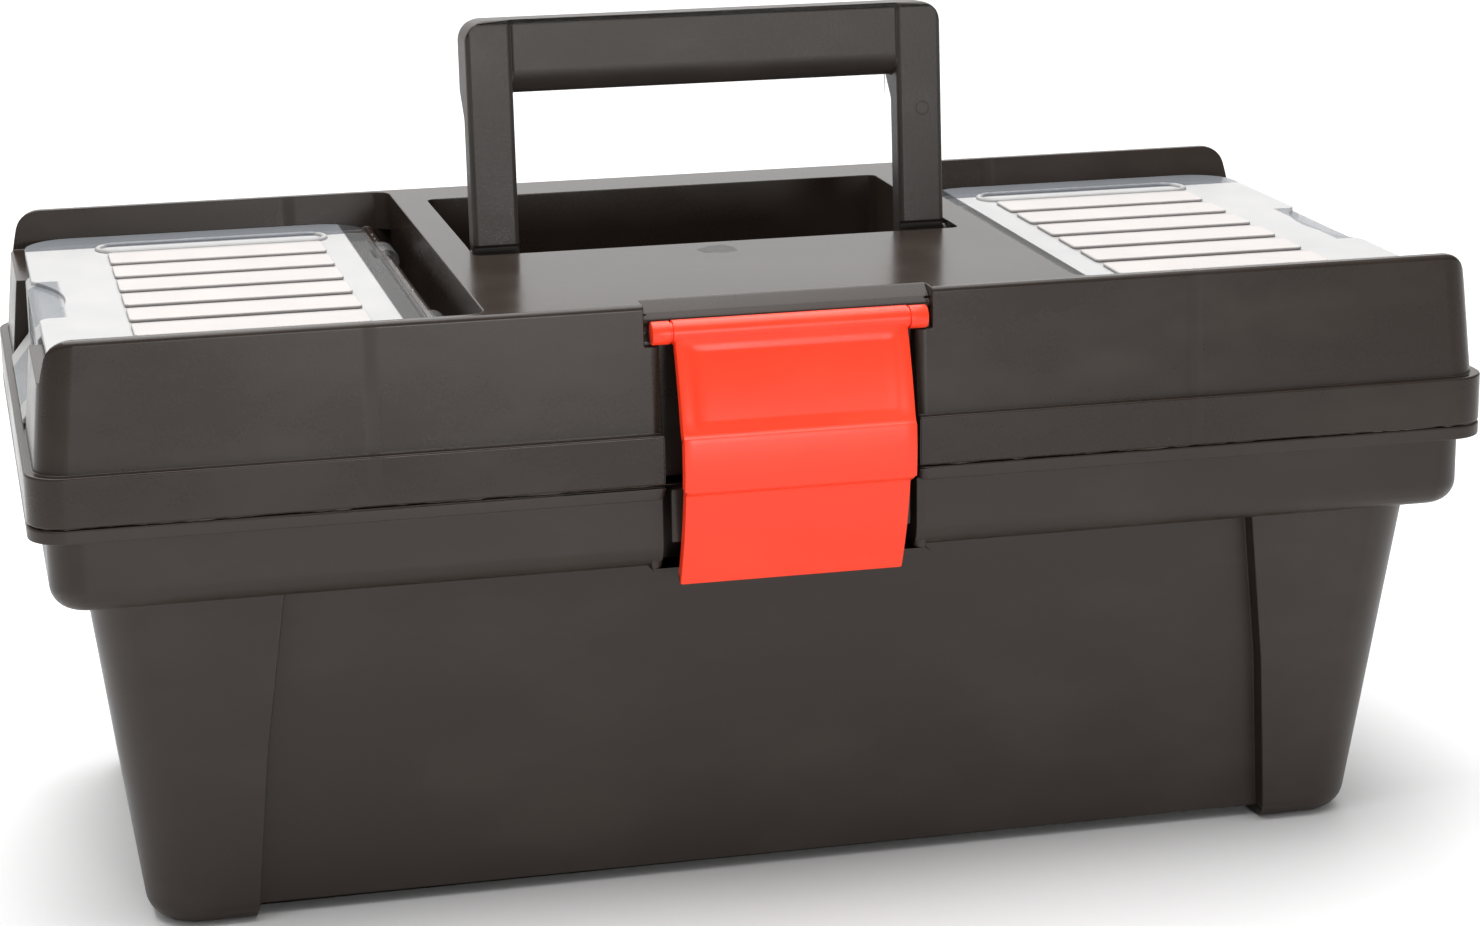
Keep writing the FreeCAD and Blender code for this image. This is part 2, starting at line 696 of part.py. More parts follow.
def build_lid(doc, s):
    """The lid: rim band, rails, centre block, compartments, well and latch seat."""
    lid = Piece(doc, "lid")
    bottom = s.parting_level + s.parting_gap / 2
    seat = s.cover_level - s.cover_thickness - s.cover_gap
    half_block = s.block_length / 2

    lid.taper("AdditiveWedge", "upper_wall", s.ledge_level, s.lid_top,
              centred(s.lid_foot_length, s.lid_foot_width),
              centred(s.lid_top_length, s.lid_top_width))
    lid.soften("corner_rounding", stands_up, s.lid_corner)
    lid.add("rim_band", "XY", bottom, s.ledge_level,
            plan(s.rim_length, s.rim_width, s.rim_corner))

    def rim_edge(edge):
        centre = edge.CenterOfMass
        outer = (abs(centre.x) > (s.rim_length.value + s.lid_foot_length.value) / 4
                 or abs(centre.y) > (s.rim_width.value + s.lid_foot_width.value) / 4)
        return lies_at(edge, 2, bottom) or lies_at(edge, 2, s.ledge_level) and outer

    lid.soften("rim_rounding", rim_edge, s.rim_edge_round)

    # Seen from the front, both ends of the rails are rounded.
    lid.round_off("end_rounding", (-s.rim_width / 2, s.rim_width / 2), s.lid_top_length / 2,
                  s.lid_top, smaller(s.rail_end_round, s.lid_corner * 0.95))

    # Between the rails both ends are open down to the seat of the covers.
    rail_top = s.lid_top_width / 2 - s.rail_top_thickness
    rail_foot = s.lid_top_width / 2 - s.rail_foot_thickness
    for side, name in SIDES:
        inside, outside = half_block * side, (s.rim_length / 2 + CLEAR * 2) * side
        lid.loft("SubtractiveLoft", f"{name}_bay", [
            (seat, Outline.rectangle(inside, outside, -rail_foot, rail_foot, s.block_corner)),
            (s.lid_top, Outline.rectangle(inside, outside, -rail_top, rail_top,
                                          s.block_corner))])
    lid.soften("rail_rounding", lambda edge: lies_at(edge, 2, s.lid_top)
               and abs(abs(edge.CenterOfMass.y) - s.lid_top_width.value / 2) < SLACK,
               s.rail_edge_round)

    # Under each cover: the compartment, the hinge wall and the channel behind it.
    wall_near = s.cover_axis_x - s.hinge_wall_thickness / 2
    wall_far = s.cover_axis_x + s.hinge_wall_thickness / 2
    lid.cut("compartments", "XY", s.lid_floor_level, seat, *[
        Outline.rectangle(wall_far * side, s.compartment_end * side,
                          -s.compartment_half_width, s.compartment_half_width,
                          s.compartment_corner) for side, _ in SIDES])
    lid.cut("hinge_channels", "XY", s.hinge_channel_floor, seat, *[
        Outline.rectangle(half_block * side, wall_near * side, -rail_foot, rail_foot)
        for side, _ in SIDES])
    half = s.clip_width / 2 + s.clip_side_gap
    lid.cut("clip_notches", "XY", s.cover_axis_z - s.clip_radius - s.clip_side_gap, seat, *[
        Outline.rectangle((wall_near - s.wall / 2) * side, (wall_far + s.wall / 2) * side,
                          place - half, place + half)
        for side, _ in SIDES for place in (-s.clip_place, s.clip_place)])
    lid.add("hinge_bars", "XZ", -rail_foot - s.wall / 2, rail_foot + s.wall / 2, *[
        Round(s.cover_axis_x * side, s.cover_axis_z, s.hinge_bar_radius)
        for side, _ in SIDES])

    # A recess in each end wall takes the flap of the cover, with a nub to snap over.
    recess = s.flap_reach - s.flap_thickness - s.flap_back_gap
    half = s.flap_width / 2 + s.flap_side_gap
    nub_level = s.window_level + (s.window_height - s.nub_height) / 2
    nub_root = recess - s.wall / 2
    nub_end = recess + s.nub_reach + s.flap_back_gap
    lid.cut("flap_recesses", "XY", s.ledge_level, seat, *[
        Outline.rectangle(recess * side, (s.rim_length / 2 + CLEAR) * side, -half, half)
        for side, _ in SIDES])
    lid.add("nubs", "XZ", -s.nub_width / 2, s.nub_width / 2, *[
        Outline([(nub_root * side, nub_level), (nub_end * side, nub_level),
                 (nub_end * side, nub_level + s.nub_height / 3),
                 (nub_root * side, nub_level + s.nub_height)]) for side, _ in SIDES])

    # The handle folds back into a well, its pivots in blind holes.
    lid.cut("well", "XY", s.lid_floor_level, s.lid_top,
            Outline.rectangle(-s.well_length / 2, s.well_length / 2,
                              s.well_front, s.well_back, s.well_corner))
    hole_end = s.handle_width / 2 + s.pivot_length + s.pivot_length / 8
    lid.cut("pivot_holes", "YZ", -hole_end, hole_end,
            Round(s.pivot_y, s.pivot_z, s.pivot_radius + s.running_gap))

    # The block and the floor are hollow from below.
    core = half_block - s.wall
    front = -(s.lid_top_width / 2 - s.wall)
    behind_channel = s.lid_channel_back + s.wall
    beside = s.channel_width / 2 + s.wall
    lid.cut("front_hollow", "XY", bottom, s.lid_top - s.wall, Outline([
        (-core, front), (-beside, front), (-beside, behind_channel), (beside, behind_channel),
        (beside, front), (core, front), (core, s.well_front - s.wall),
        (-core, s.well_front - s.wall)]))
    lid.cut("back_hollow", "XY", bottom, s.lid_top - s.wall,
            Outline.rectangle(-core, core, s.well_back + s.wall, -front))
    lid.cut("underside", "XY", bottom, s.lid_floor_level - s.wall,
            Outline([(-s.rim_length / 2 + s.wall, -s.rim_width / 2 + s.wall),
                     (-beside, -s.rim_width / 2 + s.wall), (-beside, behind_channel),
                     (beside, behind_channel), (beside, -s.rim_width / 2 + s.wall),
                     (s.rim_length / 2 - s.wall, -s.rim_width / 2 + s.wall),
                     (s.rim_length / 2 - s.wall, s.rim_width / 2 - s.wall),
                     (-s.rim_length / 2 + s.wall, s.rim_width / 2 - s.wall)],
                    [s.rim_corner - s.wall, None, None, None, None]
                    + [s.rim_corner - s.wall] * 3))

    # Seat of the latch: a notch with shoulders for the rod, above a channel.
    half = s.notch_width / 2
    drop = s.lid_top - s.latch_axis_z
    lid.cut("latch_notch", "YZ", -half, half, Outline([
        (-s.rim_width / 2 - CLEAR, s.shoulder_level), (s.notch_back, s.shoulder_level),
        (s.notch_back, s.latch_axis_z + drop * 0.4),
        ((s.notch_back * 2 + s.notch_front) / 3, s.latch_axis_z + drop * 0.65),
        (s.notch_front, s.lid_top), (s.notch_front, s.lid_top + CLEAR),
        (-s.rim_width / 2 - CLEAR, s.lid_top + CLEAR)]))
    lid.cut("rod_groove", "YZ", -half, half,
            Round(s.latch_axis_y, s.latch_axis_z, s.rod_radius + s.running_gap))
    half = s.channel_width / 2
    lid.cut("latch_channel", "XY", bottom, s.shoulder_level,
            Outline.rectangle(-half, half, -s.rim_width / 2 - CLEAR, s.lid_channel_back))
    add_knuckles(lid, s, "lid")
    return lid.body


def build_latch(doc, s):
    """The latch, drawn about the axis of its rod."""
    latch = Piece(doc, "latch")

    def spot(y, z):
        return Size.of(y) - s.latch_axis_y, Size.of(z) - s.latch_axis_z

    reach = -s.latch_reach
    thick = s.latch_thickness
    rod_top = s.latch_axis_z + s.rod_radius
    band_face = reach + s.band_inset
    tail_face = band_face + s.band_step
    tail_top = s.band_bottom - s.band_step_height
    panel_foot = reach + s.panel_foot_inset
    panel_waist = reach + s.panel_waist_inset
    panel_middle = (s.band_top + s.latch_axis_z) / 2 + s.panel_waist_rise
    tail_waist = reach + s.tail_waist_inset
    tail_middle = (s.band_bottom + s.latch_bottom) / 2
    # Down the outer face: upper panel, raised band, lower panel; then up the inner face.
    points = [
        spot(s.latch_axis_y, rod_top),
        spot(s.latch_axis_y - s.rod_radius * 0.8, rod_top - s.rod_radius * 0.4),
        spot(panel_foot, s.band_top + s.panel_foot_rise),
        spot(band_face, s.band_top),
        spot(band_face, s.band_bottom),
        spot(tail_face, tail_top),
        spot(s.latch_tip, s.latch_bottom),
        spot(s.latch_tip + thick * 0.9, s.latch_bottom + thick * 0.5),
        spot(tail_face + thick, tail_top),
        spot(panel_foot + thick, s.band_top),
        spot(s.latch_axis_y - s.rod_radius + thick * 0.5, s.latch_axis_z)]
    latch.add("plate", "YZ", -s.latch_width / 2, s.latch_width / 2, Outline(points, through={
        1: spot(panel_waist, panel_middle),
        3: spot(reach, (s.band_top + s.band_bottom) / 2),
        5: spot(tail_waist, tail_middle),
        7: spot(tail_waist + thick, tail_middle + thick * 0.2),
        9: spot(panel_waist + thick, panel_middle - thick * 0.25)}))
    latch.add("rod", "YZ", -s.rod_length / 2, s.rod_length / 2, Round(0, 0, s.rod_radius))
    hook_root = tail_waist + thick / 2
    latch.add("hook", "YZ", -s.hook_width / 2, s.hook_width / 2, Outline([
        spot(hook_root, s.hook_level), spot(hook_root, s.hook_level - s.hook_height),
        spot(s.hook_tip - s.hook_slope, s.hook_level - s.hook_height),
        spot(s.hook_tip, s.hook_level - s.hook_height / 3), spot(s.hook_tip, s.hook_level)]))
    bind(latch.body, "Placement.Base.y", s.latch_axis_y)
    bind(latch.body, "Placement.Base.z", s.latch_axis_z)
    return latch.body


def build_handle(doc, s):
    """The handle, drawn upright about its pivot and leaned back a little."""
    handle = Piece(doc, "handle")
    front = -s.handle_front
    back = front + s.leg_depth
    grip_back = front + s.grip_depth
    top = s.handle_height
    bevel = s.grip_chamfer
    face_bottom = s.handle_front
    heel = s.leg_depth / 2 - s.leg_heel_step / 2
    leg = Outline(
        [(front, face_bottom), (front + s.leg_heel_step, face_bottom),
         (front + s.leg_heel_step, 0), (back, 0), (back, s.flare_start),
         (grip_back, s.flare_end), (grip_back, top - bevel), (grip_back - bevel, top),
         (front + bevel, top), (front, top - bevel)],
        through={2: (front + s.leg_heel_step + heel, -heel)})
    half = s.handle_width / 2
    inner = half - s.leg_width
    handle.add("left_leg", "YZ", -half, -inner, leg)
    handle.add("right_leg", "YZ", inner, half, leg)

    def front_edge(edge):
        box = edge.BoundBox
        return lies_at(edge, 1, front) and box.ZLength > top.value / 2 and box.XLength < 0.01

    handle.soften("leg_chamfers", front_edge, s.leg_chamfer, kind="Chamfer")
    handle.round_off("corner_rounding", (front, grip_back), half, top, s.handle_corner)
    side = s.grip_underside + s.grip_depth / 2
    handle.add("grip", "YZ", -inner, inner, Outline(
        [(front, side), (grip_back, side), (grip_back, top - bevel), (grip_back - bevel, top),
         (front + bevel, top), (front, top - bevel)],
        through={0: (front + s.grip_depth / 2, s.grip_underside)}))
    handle.add("pivots", "YZ", -half - s.pivot_length, half + s.pivot_length,
               Round(0, 0, s.pivot_radius))
    handle.cut("between_pivots", "YZ", -inner, inner, Round(0, 0, s.pivot_radius * 1.2))
    bind(handle.body, "Placement.Base.y", s.pivot_y)
    bind(handle.body, "Placement.Base.z", s.pivot_z)
    handle.body.Placement.Rotation = FreeCAD.Rotation(FreeCAD.Vector(-1, 0, 0), 1)
    bind(handle.body, "Placement.Rotation.Angle", s.handle_lean)
    return handle.body


def build_cover(doc, s):
    """The right cover, drawn about the axis of its hinge."""
    cover = Piece(doc, "right_cover")

    def spot(x, z):
        return Size.of(x) - s.cover_axis_x, Size.of(z) - s.cover_axis_z

    def along(x):
        return Size.of(x) - s.cover_axis_x

    top = s.cover_level - s.cover_axis_z
    under = top - s.cover_thickness
    half = s.lid_top_width / 2 - s.rail_foot_thickness - s.cover_side_gap
    cover.add("plate", "XY", under, top, Outline(
        [(along(s.cover_inner_edge), -half), (along(s.cover_end), -half),
         (along(s.cover_end), half), (along(s.cover_inner_edge), half)],
        [s.cover_corner] * 4))

    # The end flap goes down outside the end wall and ends in a lip for the finger.
    inner = s.flap_reach - s.flap_thickness
    lip = s.flap_lip_reach
    cover.add("flap", "XZ", -s.flap_width / 2, s.flap_width / 2, Outline([
        spot(s.cover_end - s.wall, s.cover_level),
        spot(s.cover_end - s.wall, s.cover_level - s.cover_thickness),
        spot(inner, s.cover_level - s.cover_thickness),
        spot(inner, s.flap_knee_level - s.flap_thickness / 2),
        spot(lip - s.flap_thickness / 2, s.flap_lip_level),
        spot(lip, s.flap_lip_level), spot(lip, s.flap_lip_level + s.flap_thickness / 2),
        spot(s.flap_reach, s.flap_knee_level),
        spot(s.flap_reach, s.cover_level - s.flap_bend),
        spot(s.flap_reach - s.flap_bend, s.cover_level)]))
    window_low = s.window_level - s.cover_axis_z
    cover.cut("window", "XY", window_low, window_low + s.window_height,
              Outline.rectangle(along(inner - s.flap_thickness), along(s.flap_reach + CLEAR),
                                -s.window_width / 2, s.window_width / 2))
    cover.cut("scoop", "XY", top - s.scoop_depth, top,
              Round(along(inner + s.scoop_radius - s.scoop_bite), 0, s.scoop_radius))

    # Six raised strips with grooves between them, and an oblong ring along each side.
    strips = []
    for k in range(6):
        low = s.rib_pitch * (k - 3) + s.rib_groove / 2
        strips.append(Outline.rectangle(along(s.rib_start), along(s.rib_end),
                                        low, low + s.rib_pitch - s.rib_groove))
    cover.add("ribs", "XY", top, top + s.rib_height, *strips)
    band = s.ring_width
    turn = (s.ring_outer_side - s.ring_inner_side) / 2 * 0.98
    rings = []
    for side in (-1, 1):
        near, far = s.ring_inner_side * side, s.ring_outer_side * side
        rings.append(Outline.rectangle(along(s.ring_start), along(s.ring_end), near, far, turn))
        rings.append(Outline.rectangle(along(s.ring_start + band), along(s.ring_end - band),
                                       near + band * side, far - band * side, turn - band))
    cover.add("rings", "XY", top, top + s.rib_height, *rings)

    # Two clips snap onto the hinge bar of the lid.
    for side, name in ((-1, "front"), (1, "back")):
        middle = s.clip_place * side
        low, high = middle - s.clip_width / 2, middle + s.clip_width / 2
        cover.add(f"{name}_clip", "XZ", low, high, Round(0, 0, s.clip_radius))
        cover.add(f"{name}_clip_arm", "XZ", low, high,
                  Outline.rectangle(0, along(s.cover_inner_edge) + s.wall, under,
                                    s.clip_radius - s.running_gap))
    cover.cut("clip_bores", "XZ", -half, half, Round(0, 0, s.hinge_bar_radius + s.running_gap))
    cover.cut("clip_mouths", "XZ", -half, half,
              Outline.rectangle(-s.clip_mouth / 2, s.clip_mouth / 2,
                                -s.clip_radius * 1.2, -s.hinge_bar_radius / 2))
    bind(cover.body, "Placement.Base.x", s.cover_axis_x)
    bind(cover.body, "Placement.Base.z", s.cover_axis_z)
    return cover.body


def mirror_cover(doc, cover):
    """The left cover, the mirror image of the right one."""
    mirrored = doc.addObject("Part::Mirroring", "left_cover")
    mirrored.Label = "left_cover"
    mirrored.Source = cover
    mirrored.Normal = FreeCAD.Vector(1, 0, 0)
    return mirrored


def build_pins(doc, s):
    """The steel pins of the two rear hinges."""
    pins = []
    step = s.knuckle_length + s.knuckle_gap
    length = step * 2 + s.knuckle_length
    for side, name in ((-1, "left"), (1, "right")):
        pin = doc.addObject("Part::Cylinder", f"hinge_pin_{name}")
        pin.Label = f"hinge_pin_{name}"
        bind(pin, "Radius", s.pin_radius)
        bind(pin, "Height", length)
        pin.Placement.Rotation = FreeCAD.Rotation(FreeCAD.Vector(0, 1, 0), 90)
        bind(pin, "Placement.Base.x", s.hinge_place * side - length / 2)
        bind(pin, "Placement.Base.y", s.hinge_axis_y)
        bind(pin, "Placement.Base.z", s.parting_level)
        pins.append(pin)
    return pins


def build_tray(doc, s):
    """The lift-out tray: a flange on the ledge of the tub and a box below it."""
    tray = Piece(doc, "tray")
    ledge = s.collar_level + s.wall

    def room(length, width, level):
        return (between(s.foot_length, s.shoulder_length, level, s.collar_level) - length,
                between(s.foot_width, s.shoulder_width, level, s.collar_level) - width)

    loss = (s.wall + s.tray_side_gap) * 2
    relief = s.column_relief * 2
    bottom = ledge - s.tray_depth
    length_low, width_low = room(loss, loss + relief, bottom)
    length_high, width_high = room(loss, loss + relief, ledge)
    thin = s.tray_wall * 2
    tray.loft("AdditiveLoft", "box", [
        (bottom, plan(length_low, width_low, s.tray_corner)),
        (ledge, plan(length_high, width_high, s.tray_corner))])
    notch = s.channel_width / 2 + s.wall + s.tray_side_gap
    rim_length = (s.collar_length - s.wall * 2) / 2 - s.tray_side_gap
    rim_width = (s.collar_width - s.wall * 2) / 2 - s.tray_side_gap
    channel_back = -(s.rim_width / 2 - s.tub_channel_depth)
    notch_side = channel_back + s.wall + s.tray_side_gap / 2
    turn = s.rim_corner - s.wall
    tray.add("flange", "XY", ledge, ledge + s.tray_wall, Outline(
        [(-rim_length, -rim_width), (-notch, -rim_width), (-notch, notch_side),
         (notch, notch_side), (notch, -rim_width), (rim_length, -rim_width),
         (rim_length, rim_width), (-rim_length, rim_width)],
        [turn, None, None, None, None, turn, turn, turn]))
    tray.loft("SubtractiveLoft", "hollow", [
        (bottom + s.tray_wall, plan(length_low - thin, width_low - thin,
                                    s.tray_corner - s.tray_wall)),
        (ledge + s.tray_wall, plan(length_high - thin, width_high - thin,
                                   s.tray_corner - s.tray_wall))])
    half = s.tray_wall / 2
    dividers = [Outline.rectangle(place - half, place + half,
                                  -width_low / 2 + half, width_low / 2 - half)
                for place in (-s.tray_divider_place, s.tray_divider_place)]
    tray.add("dividers", "XY", bottom + half, bottom + s.tray_divider_height, *dividers)
    return tray.body


def check(doc, pieces):
    """Stop if an object of the document failed or a piece has no sound shape."""
    for thing in doc.Objects:
        if "Invalid" in thing.State or "Error" in thing.State:
            raise RuntimeError(f"{thing.Label}: {thing.State}")
    for piece in pieces:
        shape = piece.Shape
        if shape.isNull() or not shape.isValid() or not shape.Solids:
            raise RuntimeError(f"{piece.Label}: no sound shape")


def main():
    """Build the toolbox and write each piece to its own file."""
    doc = FreeCAD.newDocument("toolbox")
    sizes = sheet_sizes(doc)
    tub = build_tub(doc, sizes)
    lid = build_lid(doc, sizes)
    latch = build_latch(doc, sizes)
    handle = build_handle(doc, sizes)
    right_cover = build_cover(doc, sizes)
    left_cover = mirror_cover(doc, right_cover)
    tray = build_tray(doc, sizes)
    pieces = [tub, lid, latch, handle, left_cover, right_cover, tray, *build_pins(doc, sizes)]
    doc.recompute()
    check(doc, pieces)
    os.makedirs("parts", exist_ok=True)
    for piece in pieces:
        piece.Shape.exportStep(f"parts/{piece.Label}.step")
        box = piece.Shape.BoundBox
        print(f"{piece.Label}: {piece.Shape.Volume / 1000:.1f} cm3, solids "
              f"{len(piece.Shape.Solids)}, X {box.XMin:.1f} {box.XMax:.1f}, "
              f"Y {box.YMin:.1f} {box.YMax:.1f}, Z {box.ZMin:.1f} {box.ZMax:.1f}")


main()
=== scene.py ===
"""A small plastic toolbox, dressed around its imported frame.

The box has a tub, a hinged lid with a centre block and two covered compartments, a snap latch
and a folding handle. Every length is in metres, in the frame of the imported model.
"""

from __future__ import annotations

import logging
import math
from collections.abc import Callable, Iterable, Sequence
from dataclasses import dataclass, field
from enum import Enum
from typing import Union

import bmesh
import bpy
from mathutils import Matrix, Vector


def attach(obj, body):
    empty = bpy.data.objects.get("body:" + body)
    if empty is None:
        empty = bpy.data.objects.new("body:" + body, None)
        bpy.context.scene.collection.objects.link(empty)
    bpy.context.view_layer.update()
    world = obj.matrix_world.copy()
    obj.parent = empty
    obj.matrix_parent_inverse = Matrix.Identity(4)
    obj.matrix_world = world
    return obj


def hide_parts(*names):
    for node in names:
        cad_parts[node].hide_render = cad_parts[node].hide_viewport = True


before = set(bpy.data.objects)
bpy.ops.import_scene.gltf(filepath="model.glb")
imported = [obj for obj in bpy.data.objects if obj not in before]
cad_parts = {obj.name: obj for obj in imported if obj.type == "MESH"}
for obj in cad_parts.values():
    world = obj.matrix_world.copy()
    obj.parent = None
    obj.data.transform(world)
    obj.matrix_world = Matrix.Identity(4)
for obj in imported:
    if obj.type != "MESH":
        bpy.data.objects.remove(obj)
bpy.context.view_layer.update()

LOG = logging.getLogger("toolbox")
MM = 0.001
SAME_SPOT = 0.004 * MM
SAME_PLANE = math.radians(0.6)
CREASE = math.radians(30)

Colour = tuple[float, float, float]
Point = tuple[float, float, float]
Spot = tuple[float, float]
Number = Union[float, "Wire"]
EdgeTest = Callable[[bmesh.types.BMEdge], bool]


class Body(Enum):
    """The moving bodies of the box."""

    TUB = "tub_body"
    LID = "lid_body"
    LATCH = "latch_body"
    HANDLE = "handle_body"
    LEFT_COVER = "left_cover_body"
    RIGHT_COVER = "right_cover_body"


class Slot(Enum):
    """The material slots of the record."""

    BODY = "body_plastic"
    LATCH = "latch_plastic"
    HANDLE = "handle_plastic"
    COVER = "cover_plastic"
    TRAY = "tray_plastic"
    PIN = "pin_steel"


class Side(Enum):
    """The two ends of the box."""

    LEFT = -1
    RIGHT = 1


class Wire:
    """A number that runs through a node tree and can stand in an expression."""

    def __init__(self, tree: bpy.types.NodeTree, socket: bpy.types.NodeSocket) -> None:
        """Wraps an output socket.

        Args:
            tree: the tree that the socket is in.
            socket: the output that gives the number.
        """
        self.tree = tree
        self.socket = socket

    def _math(self, operation: str, *values: Number) -> Wire:
        """Adds a Math node.

        Args:
            operation: the node's operation.
            values: its inputs, in order.

        Returns:
            The result.
        """
        node = self.tree.nodes.new("ShaderNodeMath")
        node.operation = operation
        for place, value in enumerate(values):
            plug(self.tree, node.inputs[place], value)
        return Wire(self.tree, node.outputs[0])

    def __add__(self, other: Number) -> Wire:
        """self + other."""
        return self._math("ADD", self, other)

    def __radd__(self, other: Number) -> Wire:
        """other + self."""
        return self._math("ADD", other, self)

    def __sub__(self, other: Number) -> Wire:
        """self - other."""
        return self._math("SUBTRACT", self, other)

    def __rsub__(self, other: Number) -> Wire:
        """other - self."""
        return self._math("SUBTRACT", other, self)

    def __mul__(self, other: Number) -> Wire:
        """self * other."""
        return self._math("MULTIPLY", self, other)

    def __rmul__(self, other: Number) -> Wire:
        """other * self."""
        return self._math("MULTIPLY", other, self)

    def __truediv__(self, other: Number) -> Wire:
        """self / other."""
        return self._math("DIVIDE", self, other)

    def __rtruediv__(self, other: Number) -> Wire:
        """other / self."""
        return self._math("DIVIDE", other, self)

    def __abs__(self) -> Wire:
        """The size of self."""
        return self._math("ABSOLUTE", self)

    def at_most(self, other: Number) -> Wire:
        """The smaller of self and other."""
        return self._math("MINIMUM", self, other)

    def at_least(self, other: Number) -> Wire:
        """The larger of self and other."""
        return self._math("MAXIMUM", self, other)

    def wave(self, period: float) -> Wire:
        """A wave that is 1 at 0 and at every whole period.

        Args:
            period: its length.

        Returns:
            -1 to 1.
        """
        return self._math("COSINE", self * (math.tau / period))

    def under(self, limit: float, soft: float) -> Wire:
        """1 below a limit and 0 above it, with a soft change of 2 * soft between."""
        return self.rise(limit + soft, limit - soft)

    def over(self, limit: float, soft: float) -> Wire:
        """0 below a limit and 1 above it, with a soft change of 2 * soft between."""
        return self.rise(limit - soft, limit + soft)

    def rise(self, low: float, high: float) -> Wire:
        """A soft step.

        Args:
            low: where the step is still 0.
            high: where it has reached 1. It may be less than low.

        Returns:
            0 to 1.
        """
        share = ((self - low) / (high - low)).at_least(0.0).at_most(1.0)
        return share * share * (3.0 - 2.0 * share)


def plug(tree: bpy.types.NodeTree, socket: bpy.types.NodeSocket, value: object) -> None:
    """Sets an input socket.

    Args:
        tree: the tree that the socket is in.
        socket: the input.
        value: a Wire or an output socket to link, or a plain value.
    """
    if isinstance(value, Wire):
        tree.links.new(value.socket, socket)
    elif isinstance(value, bpy.types.NodeSocket):
        tree.links.new(value, socket)
    else:
        socket.default_value = value


class Recipe:
    """Adds nodes to a tree."""

    def __init__(self, tree: bpy.types.NodeTree) -> None:
        """Starts on a tree.

        Args:
            tree: a shader or geometry node tree.
        """
        self.tree = tree

    def node(self, kind: str, settings: dict[str, object] | None = None,
             sockets: dict[str | int, object] | None = None) -> bpy.types.Node:
        """Adds one node.

        Args:
            kind: the node's type.
            settings: its settings, which are made first.
            sockets: values or links of its inputs, by name or place.

        Returns:
            The node.
        """
        made = self.tree.nodes.new(kind)
        for name, value in (settings or {}).items():
            setattr(made, name, value)
        for key, value in (sockets or {}).items():
            plug(self.tree, made.inputs[key], value)
        return made

    def wire(self, node: bpy.types.Node, key: str | int = 0) -> Wire:
        """An output of a node as a number for expressions."""
        return Wire(self.tree, node.outputs[key])


class Paint(Recipe):
    """A material's tree, with the places and patterns that finishes share."""

    def __init__(self, name: str) -> None:
        """Makes an empty material.

        Args:
            name: the material's name.
        """
        self.material = bpy.data.materials.new(name)
        self.material.use_nodes = True
        self.material.node_tree.nodes.clear()
        super().__init__(self.material.node_tree)
        coords = self.node("ShaderNodeTexCoord")
        self.place = coords.outputs["Object"]
        split = self.node("ShaderNodeSeparateXYZ", sockets={0: self.place})
        self.x, self.y, self.z = (self.wire(split, k) for k in range(3))
        facing = self.node("ShaderNodeSeparateXYZ", sockets={0: coords.outputs["Normal"]})
        self.up = self.wire(facing, 2)

    def noise(self, size: float, detail: float = 2.0, stretch: Point = (1, 1, 1)) -> Wire:
        """A soft noise around 0.5.

        Args:
            size: the length of its features.
            detail: how many finer octaves it has.
            stretch: how much longer the features are along X, Y and Z.

        Returns:
            The noise.
        """
        scale = tuple(1 / s for s in stretch)
        scaled = self.node("ShaderNodeMapping", sockets={0: self.place, 3: scale})
        made = self.node("ShaderNodeTexNoise", {"noise_dimensions": "3D"},
                         {"Vector": scaled.outputs[0], "Scale": 1 / size, "Detail": detail,
                          "Roughness": 0.55})
        return self.wire(made, 0)

    def mix(self, share: Number, first: Colour | bpy.types.NodeSocket,
            second: Colour) -> bpy.types.NodeSocket:
        """A colour between two others.

        Args:
            share: 0 for the first, 1 for the second.
            first: a colour, or the socket of one that is already mixed.
            second: a colour.

        Returns:
            The new colour's socket.
        """
        if isinstance(first, tuple):
            first = (*first, 1.0)
        mixed = self.node("ShaderNodeMix", {"data_type": "RGBA", "clamp_factor": True},
                          {0: share, 6: first, 7: (*second, 1.0)})
        return mixed.outputs[2]

    def bump(self, height: Number, depth: float) -> bpy.types.NodeSocket:
        """A normal from a height.

        Args:
            height: the height, in units of depth.
            depth: the length of one unit.

        Returns:
            The normal's socket.
        """
        made = self.node("ShaderNodeBump", sockets={"Strength": 1.0, "Distance": depth,
                                                    "Height": height})
        return made.outputs[0]

    def finish(self, sockets: dict[str, object]) -> bpy.types.Material:
        """Adds the surface shader and the output.

        Args:
            sockets: the shader's inputs.

        Returns:
            The finished material.
        """
        shader = self.node("ShaderNodeBsdfPrincipled", sockets=sockets)
        self.node("ShaderNodeOutputMaterial", sockets={"Surface": shader.outputs[0]})
        return self.material


@dataclass(frozen=True)
class Streak:
    """A faint, dull upright flow line in a moulded wall.

    Attributes:
        x: where it stands.
        width: half its width.
        above: the level where it starts.
    """

    x: float
    width: float
    above: float


